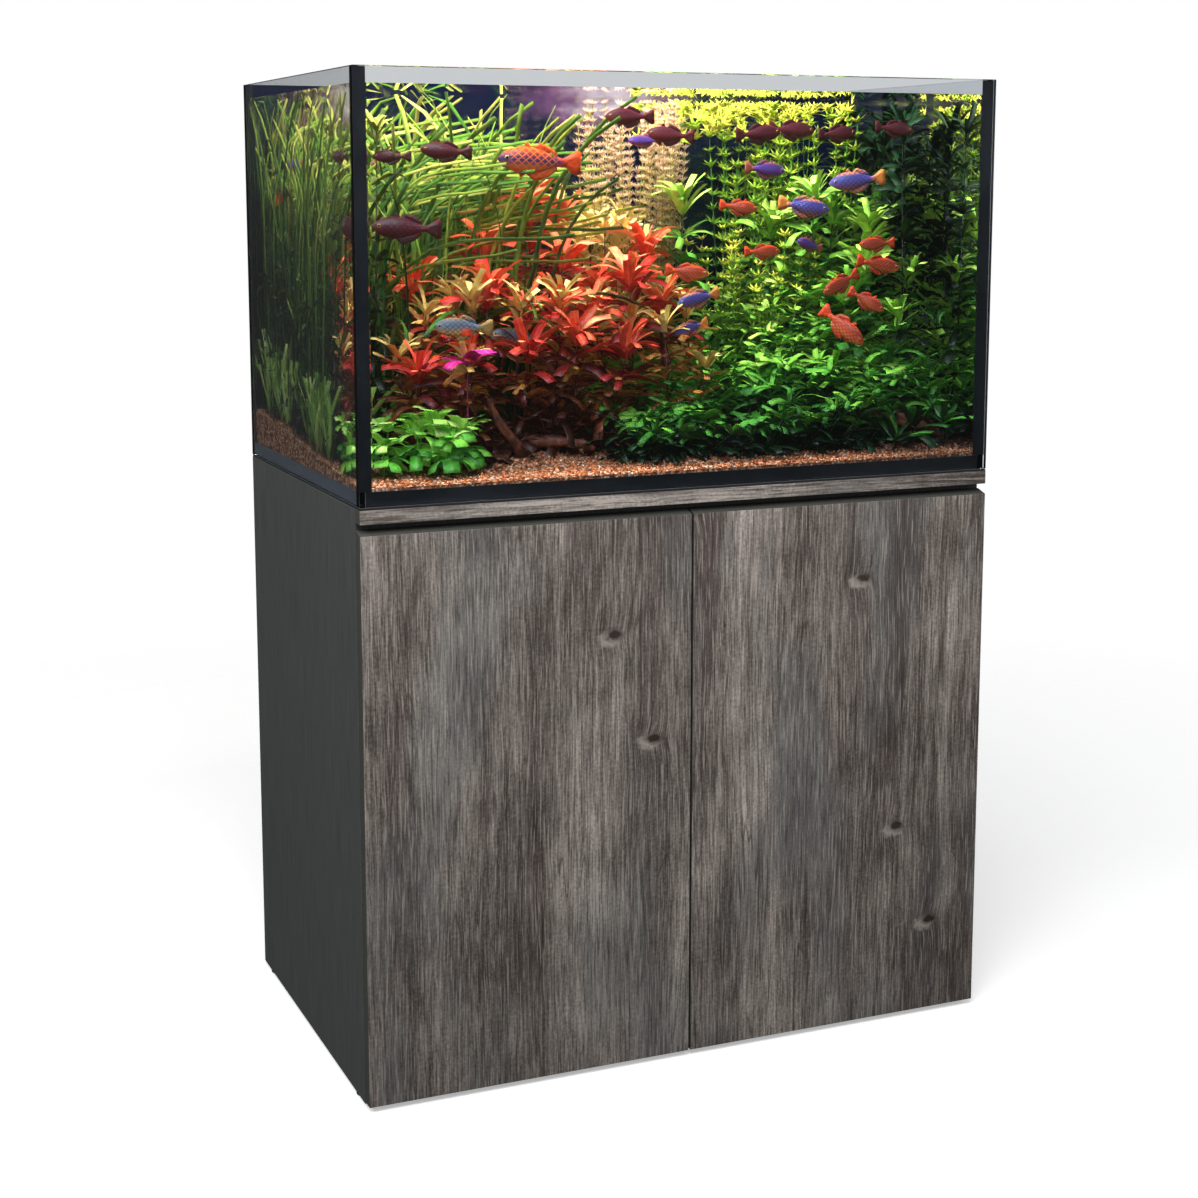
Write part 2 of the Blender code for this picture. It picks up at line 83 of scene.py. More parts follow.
# %% Camera
scene = bpy.context.scene
CAMERA_PLACE = (-1.138, -2.636, 1.172)
CAMERA_DOWN, CAMERA_TURN = 8.32, -23.05  # degrees below level, and to the right
CAMERA_LENS, CAMERA_SHIFT = 61.1, -0.099
camera_data = bpy.data.cameras.new("camera")
camera_data.lens = CAMERA_LENS
camera_data.shift_y = CAMERA_SHIFT
camera = bpy.data.objects.new("camera", camera_data)
camera.location = CAMERA_PLACE
camera.rotation_euler = (math.radians(90 - CAMERA_DOWN), 0, math.radians(CAMERA_TURN))
scene.collection.objects.link(camera)
scene.camera = camera
scene.view_settings.view_transform = "Standard"
print("camera lens", camera_data.lens, "mm")


# %% [markdown]
# Wide lamps give the soft shadows of a studio. The key lamp stands over the doors, the side lamp over the
# left panel, and a weak fill on the right keeps that side from going black. The tank has a lamp of its
# own above the water, as a planted tank does. It lights what is in the tank, but it isn't seen itself,
# neither through the water nor mirrored in the glass.

# %% Lamps
def soft_lamp(name, place, aim, width, height, power, colour=(1, 1, 1)):
    """A rectangular lamp that looks at a point."""
    data = bpy.data.lights.new(name, "AREA")
    data.shape = "RECTANGLE"
    data.size = width
    data.size_y = height
    data.energy = power
    data.color = colour
    lamp = bpy.data.objects.new(name, data)
    lamp.location = place
    lamp.rotation_euler = (Vector(aim) - Vector(place)).to_track_quat("-Z", "Y").to_euler()
    lamp.visible_camera = False
    scene.collection.objects.link(lamp)
    return lamp


soft_lamp("key", (-0.8, -1.8, 2.7), (0, 0, 0.6), 1.6, 1.6, 72)
soft_lamp("side", (-2.6, -0.4, 2.8), (-0.4, 0, 0.5), 1.4, 1.4, 48)
soft_lamp("fill", (3.2, -2.6, 2.6), (0, 0, 0.6), 2.0, 2.0, 15)
LAMP_X, LAMP_Y, LAMP_LIFT = -0.12, -0.11, 0.30
WARM_WHITE = (1.0, 0.97, 0.93)
tank_lamp = soft_lamp(
    "tank_lamp", (LAMP_X, LAMP_Y, RIM + LAMP_LIFT), (LAMP_X, LAMP_Y, 0), 0.60, 0.30, 31, WARM_WHITE
)
tank_lamp.visible_transmission = False
tank_lamp.visible_glossy = False
print("lamps", len(bpy.data.lights))

# %% [markdown]
# The surround is white where the camera sees it, a little greyer through glass, weaker as a source of
# light, and weaker still in reflections, so that the glass doesn't turn milky. The light path tells them
# apart by what has happened to a ray so far, and not by the last thing it met, which is often glass.

# %% Surround
world = bpy.data.worlds.new("surround")
world.use_nodes = True
scene.world = world
tree = world.node_tree
path = tree.nodes.new("ShaderNodeLightPath")
SEEN, THROUGH_GLASS, LIT, MIRRORED = 1.0, 0.70, 0.26, 0.03


def lamp_share(value):
    """A constant strength."""
    made = tree.nodes.new("ShaderNodeValue")
    made.outputs[0].default_value = value
    return made.outputs[0]


def choose(switch, first, second):
    """first where the switch is 0, second where it is 1."""
    made = tree.nodes.new("ShaderNodeMix")
    made.data_type = "FLOAT"
    for place, link in ((0, switch), (2, first), (3, second)):
        tree.links.new(link, made.inputs[place])
    return made.outputs[0]


def happened(depth):
    """1 where a ray has bounced in this way at least once."""
    made = tree.nodes.new("ShaderNodeMath")
    made.operation = "GREATER_THAN"
    made.inputs[1].default_value = 0.5
    tree.links.new(path.outputs[depth], made.inputs[0])
    return made.outputs[0]


strength = choose(happened("Transmission Depth"), lamp_share(SEEN), lamp_share(THROUGH_GLASS))
strength = choose(happened("Glossy Depth"), strength, lamp_share(MIRRORED))
strength = choose(happened("Diffuse Depth"), strength, lamp_share(LIT))
background = tree.nodes["Background"]
background.inputs["Color"].default_value = (1, 1, 1, 1)
tree.links.new(strength, background.inputs["Strength"])
print("surround", SEEN, THROUGH_GLASS, LIT, MIRRORED)

# %% [markdown]
# A ray into the tank crosses a pane and the water, and often leaves again, so it needs many steps through
# clear things. It needs few between dull ones. The sparkle that clear things throw about is left out,
# because in a short render it would only be noise.

# %% How far light goes
scene.cycles.caustics_reflective = False
scene.cycles.caustics_refractive = False
scene.cycles.max_bounces = 12
scene.cycles.diffuse_bounces = 2
scene.cycles.glossy_bounces = 4
scene.cycles.transmission_bounces = 10
scene.cycles.transparent_max_bounces = 24
print("steps through clear things", scene.cycles.transmission_bounces)


# %% [markdown]
# ## Helpers for modelling
# An operator works on all that is selected, and the loaded nodes arrive selected, so each piece starts
# by letting go of everything. Points and faces are then picked by where they are.

# %% Helpers: start, pick and finish a piece
def let_go():
    """Nothing stays selected."""
    bpy.ops.object.select_all(action="DESELECT")


def fresh(name):
    """Names the primitive that was just added, and gives it back."""
    piece = bpy.context.object
    piece.name = name
    piece.data.name = name
    return piece


def hold(piece):
    """Makes this the only selected object, and the active one."""
    let_go()
    piece.select_set(True)
    bpy.context.view_layer.objects.active = piece


def pick(piece, kind, test):
    """Opens edit mode with only the points, edges or faces selected whose place passes the test."""
    mesh = piece.data
    bpy.context.tool_settings.mesh_select_mode = [kind == each for each in ("VERT", "EDGE", "FACE")]
    for group in (mesh.vertices, mesh.edges, mesh.polygons):
        group.foreach_set("select", [False] * len(group))
    if kind == "VERT":
        for point in mesh.vertices:
            point.select = test(point.co)
    elif kind == "EDGE":
        for edge in mesh.edges:
            edge.select = test(*(mesh.vertices[end].co for end in edge.vertices))
    else:
        for face in mesh.polygons:
            face.select = test(face.center, face.normal)
    bpy.ops.object.mode_set(mode="EDIT")


def pick_all():
    """Opens edit mode with the whole of the active mesh selected."""
    bpy.ops.object.mode_set(mode="EDIT")
    bpy.ops.mesh.select_all(action="SELECT")


def done():
    """Back to object mode."""
    bpy.ops.object.mode_set(mode="OBJECT")


def settle(piece):
    """Applies every modifier, then the place, turn and size, so that all of it is in the mesh."""
    hold(piece)
    for modifier in list(piece.modifiers):
        bpy.ops.object.modifier_apply(modifier=modifier.name)
    bpy.ops.object.transform_apply(location=True, rotation=True, scale=True)
    return piece


def outward(piece):
    """Turns every face outwards."""
    hold(piece)
    pick_all()
    bpy.ops.mesh.normals_make_consistent(inside=False)
    done()
    return piece


print("modelling helpers are ready")


# %% [markdown]
# Materials are node trees. One helper adds a node with its inputs filled or linked, so that a tree reads
# from top to bottom, and small helpers on top of it name each step of arithmetic. Colours are given from
# 0 to 255, as in a paint program, and turned into light.

# %% Helpers: nodes, ramps and colours
def paint(red, green, blue):
    """A paint program's colour as Blender's linear values."""
    light = []
    for value in (red, green, blue):
        share = value / 255
        light.append(share / 12.92 if share <= 0.04045 else ((share + 0.055) / 1.055) ** 2.4)
    return (*light, 1.0)


def fill(tree, made, inputs):
    """Fills each input of a node with a value or a link."""
    for name, value in inputs.items():
        if isinstance(value, bpy.types.NodeSocket):
            tree.links.new(value, made.inputs[name])
        else:
            made.inputs[name].default_value = value
    return made


def add(tree, kind, inputs=None, **settings):
    """Adds a node, sets it up and fills it."""
    made = tree.nodes.new("ShaderNode" + kind)
    for name, value in settings.items():
        setattr(made, name, value)
    return fill(tree, made, inputs or {})


def ramp(tree, factor, stops):
    """A colour ramp over (place, colour) stops."""
    made = add(tree, "ValToRGB", {"Fac": factor})
    colours = made.color_ramp.elements
    for number, (place, colour) in enumerate(stops):
        stop = colours[number] if number < 2 else colours.new(place)
        stop.position = place
        stop.color = colour
    return made.outputs["Color"]


def blended(tree, factor, first, second, how="MIX"):
    """Two colours mixed by a factor."""
    inputs = {0: factor, 6: first, 7: second}
    return add(tree, "Mix", inputs, data_type="RGBA", blend_type=how).outputs[2]


def sums(tree, how, first, second=0.0):
    """One step of arithmetic."""
    return add(tree, "Math", {0: first, 1: second}, operation=how).outputs[0]


def plus(tree, first, second):
    """The sum of two values."""
    return sums(tree, "ADD", first, second)


def minus(tree, first, second):
    """The first value less the second."""
    return sums(tree, "SUBTRACT", first, second)


def times(tree, first, second):
    """The product of two values."""
    return sums(tree, "MULTIPLY", first, second)


def both_ways(tree, value, width):
    """A noise from 0 to 1 as a push to either side of nothing."""
    return times(tree, minus(tree, value, 0.5), width)


def vector_sums(tree, how, first, second=(0.0, 0.0, 0.0)):
    """One step of arithmetic on vectors. A length or a distance comes out as a plain value."""
    made = add(tree, "VectorMath", {0: first, 1: second}, operation=how)
    return made.outputs["Value" if how in ("LENGTH", "DISTANCE") else "Vector"]


def remap(tree, value, low, high, new_low=0.0, new_high=1.0):
    """Stretches a range of values to another."""
    inputs = {0: value, 1: low, 2: high, 3: new_low, 4: new_high}
    return add(tree, "MapRange", inputs).outputs[0]


def noise(tree, vector, scale, detail=4.0, rough=0.55):
    """The factor of a noise texture."""
    inputs = {"Vector": vector, "Scale": scale, "Detail": detail, "Roughness": rough}
    return add(tree, "TexNoise", inputs).outputs["Fac"]


print("a middle grey is", round(paint(128, 128, 128)[0], 3), "in light")


# %% [markdown]
# A finish is a material whose Principled shader is then filled in. A pattern that several finishes share
# is a group: it is built once, and each finish places it with its own values.

# %% Helpers: finishes and groups
def new_finish(name):
    """A material, its tree and its Principled shader."""
    finish = bpy.data.materials.new(name)
    finish.use_nodes = True
    tree = finish.node_tree
    return finish, tree, tree.nodes["Principled BSDF"]


def bumped(tree, shader, height, distance, strength=0.5):
    """Feeds a height into the shader's normal."""
    bump = add(tree, "Bump", {"Height": height, "Distance": distance, "Strength": strength})
    tree.links.new(bump.outputs["Normal"], shader.inputs["Normal"])


def new_group(name, ins, outs):
    """A shader group with named inputs and outputs."""
    group = bpy.data.node_groups.new(name, "ShaderNodeTree")
    for label, kind in ins:
        group.interface.new_socket(label, in_out="INPUT", socket_type="NodeSocket" + kind)
    for label, kind in outs:
        group.interface.new_socket(label, in_out="OUTPUT", socket_type="NodeSocket" + kind)
    start = group.nodes.new("NodeGroupInput")
    end = group.nodes.new("NodeGroupOutput")
    return group, start.outputs, end.inputs


def use_group(tree, group, inputs):
    """Places a group in a tree, and gives back its outputs."""
    return add(tree, "Group", inputs, node_tree=group).outputs


def wear(name, finish):
    """Gives a CAD node its finish, all over."""
    for slot in nodes[name].material_slots:
        slot.material = finish
    for face in nodes[name].data.polygons:
        face.material_index = 0


print("nodes to finish", len(nodes))


# %% [markdown]
# ## The weathered wood print
# The doors and the strip above them carry a printed board: driftwood-grey pine in broad bands of bluish
# grey and purplish brown, with short fine streaks along the grain, dark pores, long thin cracks and a few
# small knots with a pale rim to one side. One group makes it in the board's own coordinates, with X
# across the grain and Y along it.
#
# The knots come first. They sit in widely spaced cells, and not every cell has one. Each has a distance
# to its own middle, made ragged by noise, and a second one to a point beside it, for the rim.

# %% Group: weathered wood, the knots
wood_group, get, put = new_group(
    "weathered_wood",
    [("Vector", "Vector")],
    [("Color", "Color"), ("Height", "Float"), ("Streaks", "Float")],
)
tree = wood_group
CELLS_ACROSS, CELLS_ALONG = 3.4, 5.4
RIM_SHIFT = (0.024, 0.026, 0.0)
KNOTLESS = 0.42  # the share of cells without a knot
stretched = vector_sums(tree, "MULTIPLY", get["Vector"], (CELLS_ACROSS, CELLS_ALONG, 1.0))
cells = add(
    tree, "TexVoronoi", {"Vector": stretched, "Scale": 1.0, "Randomness": 0.9}, voronoi_dimensions="2D"
)
ragged = both_ways(tree, noise(tree, get["Vector"], 130.0, 3.0), 0.06)
from_knot = plus(tree, cells.outputs["Distance"], ragged)
rim_centre = vector_sums(tree, "SUBTRACT", cells.outputs["Position"], RIM_SHIFT)
to_rim = vector_sums(tree, "SUBTRACT", stretched, rim_centre)
to_rim = vector_sums(tree, "MULTIPLY", to_rim, (1.0, 1.0, 0.0))
from_rim = plus(tree, vector_sums(tree, "LENGTH", to_rim), times(tree, ragged, 1.4))
seed = add(tree, "SeparateColor", {0: cells.outputs["Color"]})
chosen = sums(tree, "GREATER_THAN", seed.outputs[0], KNOTLESS)
chosen = times(tree, chosen, remap(tree, seed.outputs[1], 0.0, 1.0, 0.82, 1.0))
print("knot cells", CELLS_ACROSS, "by", CELLS_ALONG, "in a metre")

# %% [markdown]
# The grain runs along Y, wanders slowly from side to side, and is pushed aside round a knot. Streaks are
# noise drawn out along it: wide bands, medium and fine streaks, pores and a few long cracks. Mottling
# and fine speckles that don't follow the grain keep the streaks from looking combed.

# %% Group: weathered wood, the grain
parts = add(tree, "SeparateXYZ", {0: get["Vector"]})
slow = vector_sums(tree, "MULTIPLY", get["Vector"], (7.0, 2.0, 1.0))
wander = both_ways(tree, noise(tree, slow, 1.0, 2.0), 0.020)
round_knot = times(tree, remap(tree, cells.outputs["Distance"], 0.0, 0.22, 1.0, 0.0), chosen)
aside = times(tree, sums(tree, "POWER", round_knot, 2.0), 0.008)
across = plus(tree, plus(tree, parts.outputs[0], wander), aside)
grain = add(tree, "CombineXYZ", {0: across, 1: parts.outputs[1], 2: parts.outputs[2]}).outputs[0]


def streak(narrow, long, detail, rough=0.6):
    """Noise drawn out along the grain: how many marks in a metre across it and along it."""
    drawn = vector_sums(wood_group, "MULTIPLY", grain, (narrow, long, 20.0))
    return noise(wood_group, drawn, 1.0, detail, rough)


bands = streak(12.0, 0.9, 3.0)
medium = streak(95.0, 2.4, 4.0, 0.68)
fine = streak(430.0, 12.0, 3.0, 0.80)
pores = streak(560.0, 24.0, 1.0)
cracks = streak(46.0, 1.6, 1.0, 0.4)
mottled = both_ways(tree, noise(tree, get["Vector"], 7.5, 4.0), 0.26)
speckled = both_ways(tree, noise(tree, get["Vector"], 240.0, 3.0), 0.20)
print("kinds of streak", len((bands, medium, fine, pores, cracks)))

# %% [markdown]
# The streaks add up to a level between dark and pale, which a ramp turns into driftwood greys. The bands
# tint it bluish or brown. Pores, cracks and then the knot's rim, ring and core are laid over it in turn,
# as thin coats are.

# %% Group: weathered wood, the colours
level = plus(tree, times(tree, bands, 0.36), times(tree, medium, 0.26))
level = plus(tree, level, times(tree, fine, 0.38))
level = remap(tree, plus(tree, level, plus(tree, mottled, speckled)), 0.37, 0.64)
colour = ramp(
    tree,
    level,
    [
        (0.0, paint(58, 51, 47)),
        (1.0, paint(188, 178, 170)),
        (0.28, paint(90, 82, 77)),
        (0.55, paint(122, 114, 108)),
        (0.78, paint(150, 141, 134)),
    ],
)
bluish = remap(tree, noise(tree, slow, 1.3, 2.0), 0.50, 0.66, 0.0, 0.50)
colour = blended(tree, bluish, colour, paint(104, 108, 108))
colour = blended(tree, remap(tree, bands, 0.48, 0.32, 0.0, 0.55), colour, paint(78, 65, 63))
pore = remap(tree, pores, 0.57, 0.66)
colour = blended(tree, times(tree, pore, 0.55), colour, paint(54, 47, 43))
pale = remap(tree, pores, 0.42, 0.33)
colour = blended(tree, times(tree, pale, 0.40), colour, paint(186, 177, 169))
crack = remap(tree, sums(tree, "ABSOLUTE", minus(tree, cracks, 0.60)), 0.0, 0.009, 0.7, 0.0)
colour = blended(tree, crack, colour, paint(62, 54, 50))
rim = times(tree, remap(tree, from_rim, 0.034, 0.066, 0.75, 0.0), chosen)
ring = times(tree, remap(tree, from_knot, 0.034, 0.062, 0.85, 0.0), chosen)
core = times(tree, remap(tree, from_knot, 0.020, 0.036, 1.0, 0.0), chosen)
colour = blended(tree, rim, colour, paint(178, 169, 161))
colour = blended(tree, ring, colour, paint(88, 78, 72))
colour = blended(tree, core, colour, paint(40, 34, 32))
tree.links.new(colour, put["Color"])
tree.links.new(minus(tree, level, pore), put["Height"])
tree.links.new(medium, put["Streaks"])
print("group", wood_group.name, "nodes", len(wood_group.nodes))


# %% [markdown]
# A board's coordinates are turned so that the grain runs along it, and shifted so that no two boards
# show the same stretch of the print. The print is on the two faces only: the thin edges have a plain
# dark band, and the normal tells which is which. The doors also carry painted shade: their print is
# painted darker towards the floor and lighter towards the top.

# %% Finish: weathered wood boards
EDGE_BAND = paint(72, 73, 68)
DOOR_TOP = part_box("left_door")[1].z
SQUARELY = 0.75  # how straight along an axis a face has to look


def looks_along(tree, share):
    """1 where a face looks along an axis, either way, from the normal's share of that axis."""
    return sums(tree, "GREATER_THAN", sums(tree, "ABSOLUTE", share), SQUARELY)


def wood_finish(name, upright, shift, painted_shade_at_floor, painted_shade_at_top):
    """The print on one board. upright sets the grain's direction, and shift the stretch of print.

    The two values are painted shade: they brighten or darken the print at the floor and at the top of the
    doors.
    """
    finish, tree, shader = new_finish(name)
    coordinates = add(tree, "TexCoord")
    x, y, z = add(tree, "SeparateXYZ", {0: coordinates.outputs["Object"]}).outputs
    order = {0: x, 1: z, 2: y} if upright else {0: z, 1: x, 2: y}
    flat = add(tree, "CombineXYZ", order).outputs[0]
    board = vector_sums(tree, "ADD", flat, shift)
    wood = use_group(tree, wood_group, {"Vector": board})
    # painted shade: the print's brightness runs from the value at the floor up to the value at the top
    value = remap(tree, z, 0.0, DOOR_TOP, painted_shade_at_floor, painted_shade_at_top)
    tone = add(tree, "HueSaturation", {"Color": wood["Color"], "Value": value}).outputs[0]
    sideways = add(tree, "SeparateXYZ", {0: coordinates.outputs["Normal"]}).outputs[1]
    face = looks_along(tree, sideways)
    tree.links.new(blended(tree, face, EDGE_BAND, tone), shader.inputs["Base Color"])
    tree.links.new(remap(tree, wood["Streaks"], 0.3, 0.7, 0.62, 0.46), shader.inputs["Roughness"])
    shader.inputs["Specular IOR Level"].default_value = 0.35
    bumped(tree, shader, wood["Height"], 0.0004, 0.5)
    return finish


# the last two numbers are painted shade at the floor and at the top of the doors
wear("left_door", wood_finish("wood_left_door", True, (0.0, 0.0, 0.0), 0.74, 1.08))
wear("right_door", wood_finish("wood_right_door", True, (-0.43, 0.31, 0.4), 0.80, 1.16))
wear("front_fascia", wood_finish("wood_fascia", False, (0.9, 2.6, 0.0), 0.93, 0.93))
print("printed boards", 3)

# %% [markdown]
# ## Dark boards, plastics, metal and rubber
# The carcass is an anthracite board with a faint pressed grain and a satin sheen. Handling leaves soft
# smudges on every smooth piece, so one group makes the smudge mask, and each finish uses it in its
# roughness with its own strength.

# %% Group: smudges
smudge_group, get, put = new_group(
    "smudges", [("Vector", "Vector"), ("Size", "Float")], [("Mask", "Float"), ("Grain", "Float")]
)
tree = smudge_group
cloud = add(tree, "TexNoise", {"Vector": get["Vector"], "Scale": get["Size"], "Detail": 5.0})
speck_size = times(tree, get["Size"], 40.0)
speck = add(tree, "TexNoise", {"Vector": get["Vector"], "Scale": speck_size, "Detail": 2.0})
tree.links.new(remap(tree, cloud.outputs["Fac"], 0.38, 0.66), put["Mask"])
tree.links.new(speck.outputs["Fac"], put["Grain"])
print("group", smudge_group.name, "nodes", len(smudge_group.nodes))


# %% [markdown]
# One helper makes all the plain finishes: two shades, the gloss and how far it varies, and the depth of
# the grain. Where the silicone round the base is seen through the side panes it shows a pale reflection,
# which is painted, so the helper can also give a surface's left and right sides a colour of their own.

# %% Finish: plain surfaces with smudges
def plain_finish(
    name, low, high, rough, spread, bump, size=9.0, metallic=0.0, stretch=(1, 1, 1), painted_reflection_sides=None
):
    """A surface of one hue between two shades, with smudged roughness and a fine grain."""
    finish, tree, shader = new_finish(name)
    coordinates = add(tree, "TexCoord").outputs
    drawn = add(tree, "Mapping", {"Vector": coordinates["Object"], "Scale": stretch}).outputs[0]
    marks = use_group(tree, smudge_group, {"Vector": drawn, "Size": size})
    shade = blended(tree, marks["Grain"], low, high)
    # painted reflection: faces that look left or right get a colour of their own
    if painted_reflection_sides:
        across = add(tree, "SeparateXYZ", {0: coordinates["Normal"]}).outputs[0]
        shade = blended(tree, looks_along(tree, across), shade, painted_reflection_sides)
    tree.links.new(shade, shader.inputs["Base Color"])
    gloss = remap(tree, marks["Mask"], 0.0, 1.0, rough - spread, rough + spread)
    tree.links.new(gloss, shader.inputs["Roughness"])
    shader.inputs["Metallic"].default_value = metallic
    bumped(tree, shader, marks["Grain"], bump, 0.4)
    return finish


UP_GRAIN = (1.0, 1.0, 0.03)
anthracite = plain_finish(
    "anthracite_board", paint(58, 61, 62), paint(96, 98, 97), 0.36, 0.06, 0.0002, 9.0, 0.0, UP_GRAIN
)
BLACK_SILICONE = (paint(8, 11, 15), paint(18, 22, 27), 0.38, 0.06, 0.0002)
silicone = plain_finish("black_silicone", *BLACK_SILICONE)
# the base seal's left and right faces carry a painted reflection in a paler grey
silicone_painted_reflection = plain_finish("silicone_with_painted_reflection", *BLACK_SILICONE, painted_reflection_sides=paint(100, 107, 116))
plastic = plain_finish("black_plastic", paint(28, 29, 31), paint(44, 45, 47), 0.50, 0.08, 0.0002)
foam = plain_finish("foam_mat", paint(14, 14, 15), paint(38, 38, 39), 0.90, 0.05, 0.0006, 20.0)
nickel = plain_finish(
    "nickel_steel", paint(176, 173, 168), paint(206, 203, 198), 0.26, 0.08, 0.0001, 12.0, 1.0
)
rubber = plain_finish("bumper_rubber", paint(196, 196, 186), paint(216, 216, 208), 0.42, 0.06, 0.0002)
print("materials so far", len(bpy.data.materials))

# %% [markdown]
# Each node's name ends with what it is, so the name tells which finish it wears.

# %% Give the cabinet its finishes
dark_boards = ["left_side_panel", "right_side_panel", "bottom_board", "top_board", "front_rail"]
for name in dark_boards + ["back_panel", "centre_partition"]:
    wear(name, anthracite)
for name in nodes:
    if name.endswith("_seal"):
        wear(name, silicone)
    elif name.endswith(("_grommet", "_glide", "_catch")):
        wear(name, plastic)
    elif name.endswith(("_cup", "_arm", "_plate")):
        wear(name, nickel)
    elif name.endswith("_bumper"):
        wear(name, rubber)
wear("foam_mat", foam)
wear("base_seal", silicone_painted_reflection)
print("dark boards", len(dark_boards) + 2)


# %% [markdown]
# ## The background film
# A dark blue sheet is stuck on the back pane. Its colour carries painted light from above: it is painted
# lighter near the water's surface and almost black lower down, and it gives off a soft pale glow of its
# own near the surface, which is painted light too. The glow is a stretched round patch, made from the
# distance to a point, and it's only on the side that faces into the tank.

# %% Finish: background film
film, tree, shader = new_finish("background_film")
place = add(tree, "TexCoord").outputs["Object"]
parts = add(tree, "SeparateXYZ", {0: place})
drift = both_ways(tree, noise(tree, place, 5.0, 3.0), 0.10)
height = plus(tree, parts.outputs[2], drift)
# painted light: the film's colour is lighter towards the top
shade = ramp(
    tree,
    remap(tree, height, BED_BASE, RIM),
    [(0.0, paint(2, 4, 7)), (1.0, paint(8, 12, 30)), (0.45, paint(4, 7, 14)), (0.82, paint(7, 11, 28))],
)
tree.links.new(shade, shader.inputs["Base Color"])
shader.inputs["Roughness"].default_value = 0.45
shader.inputs["Specular IOR Level"].default_value = 0.1
# painted light: a glow that the film gives off near the surface
PAINTED_GLOW_CENTRE = (0.05, 0.27, WATER_LEVEL - 0.010)
centred = vector_sums(tree, "SUBTRACT", place, PAINTED_GLOW_CENTRE)
reach = vector_sums(tree, "LENGTH", vector_sums(tree, "MULTIPLY", centred, (4.4, 1.0, 20.0)))
rough_reach = plus(tree, reach, times(tree, noise(tree, place, 30.0, 3.0), 0.6))
faces_in = add(tree, "SeparateXYZ", {0: add(tree, "TexCoord").outputs["Normal"]}).outputs[1]
faces_in = sums(tree, "LESS_THAN", faces_in, 0.0)
painted_glow = times(tree, remap(tree, rough_reach, 0.35, 1.0, 1.0, 0.0), faces_in)
painted_glow_colour = ramp(
    tree, painted_glow, [(0.0, paint(0, 0, 0)), (1.0, paint(255, 226, 232)), (0.5, paint(150, 92, 128))]
)
tree.links.new(painted_glow_colour, shader.inputs["Emission Color"])
shader.inputs["Emission Strength"].default_value = 1.0
wear("background_film", film)
print("glow centre", [round(value, 3) for value in PAINTED_GLOW_CENTRE])


# %% [markdown]
# ## Glass and water
# Both are clear and bend light, so a Principled shader with full transmission does them. A renderer that
# samples lamps directly would find them opaque, and the tank would be black inside, so lamps are let
# through: where a ray only asks for light, the surface is plainly transparent.

# %% Finish: glass and water
def clear_finish(name, colour, bend):
    """A clear material that bends what is seen through it and lets lamps through."""
    finish, tree, shader = new_finish(name)
    shader.inputs["Base Color"].default_value = colour
    shader.inputs["Transmission Weight"].default_value = 1.0
    shader.inputs["Roughness"].default_value = 0.0
    shader.inputs["IOR"].default_value = bend
    open_way = add(tree, "BsdfTransparent", {"Color": colour})
    asks = add(tree, "LightPath").outputs["Is Shadow Ray"]
    both = add(tree, "MixShader", {0: asks, 1: shader.outputs[0], 2: open_way.outputs[0]})
    tree.links.new(both.outputs[0], tree.nodes["Material Output"].inputs["Surface"])
    return finish


GLASS_BEND, WATER_BEND = 1.50, 1.333
GLASS_TINT = (0.890, 0.926, 0.956, 1.0)
glass = clear_finish("clear_glass", GLASS_TINT, GLASS_BEND)
PANES = ("front_glass", "back_glass", "left_glass", "right_glass", "base_glass")
for name in PANES:
    wear(name, glass)
print("panes", len(PANES))
water_finish = clear_finish("water", (0.975, 0.992, 1.0, 1.0), WATER_BEND)

# %% [markdown]
# The water is one closed block. It stops a hair short of the panes, so that each surface is its own, and
# its upright edges are cut back behind the silicone. The block is a cube primitive with its four upright
# edges bevelled. Its top is flat, because the water is still.

# %% Piece: the water
WATER_CLEARANCE = 0.0005
let_go()
low = Vector((LEFT + WATER_CLEARANCE, FRONT + WATER_CLEARANCE, seal_high.z + WATER_CLEARANCE))
high = Vector((RIGHT - WATER_CLEARANCE, BACK - WATER_CLEARANCE, WATER_LEVEL))
bpy.ops.mesh.primitive_cube_add(size=1, location=(low + high) / 2, scale=high - low)
water = fresh("water")
settle(water)
pick(water, "EDGE", lambda first, second: abs(first.z - second.z) > 0.1)
bpy.ops.mesh.bevel(offset=BEAD, segments=1, affect="EDGES")
done()
water.data.materials.append(water_finish)
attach(water, "root")
print("water", len(water.data.polygons), "faces")


# %% [markdown]
# ## The gravel
# A bed of gravel has an uneven top, a little higher at the back. A height map could give that, but
# heaping shows what proportional editing is for. First a fine grid is laid over the bed and tilted.

# %% Piece: the gravel bed, a tilted grid
BED_GAP = 0.0012
let_go()
size = (RIGHT - LEFT - 2 * BED_GAP, BACK - FRONT - 2 * BED_GAP, 1)
middle = ((LEFT + RIGHT) / 2, (FRONT + BACK) / 2, BED_FRONT)
bpy.ops.mesh.primitive_grid_add(x_subdivisions=200, y_subdivisions=120, size=1, location=middle)
bed = fresh("gravel")
settle(bed)
tilt = math.atan2(BED_RISE, size[1])
front_edge = (0, FRONT + BED_GAP, BED_FRONT)
pick_all()
bpy.ops.transform.resize(value=size, center_override=middle)
bpy.ops.transform.rotate(value=-tilt, orient_axis="X", center_override=front_edge)
bpy.ops.transform.resize(value=(1, 1 / math.cos(tilt), 1), center_override=front_edge)
done()
print("grid", len(bed.data.polygons), "faces, rising", BED_RISE, "m to the back")

# %% [markdown]
# The grid is heaped as one would heap gravel by hand: one point is lifted and its surroundings follow.
# Then every point but those along the panes is shaken a little.

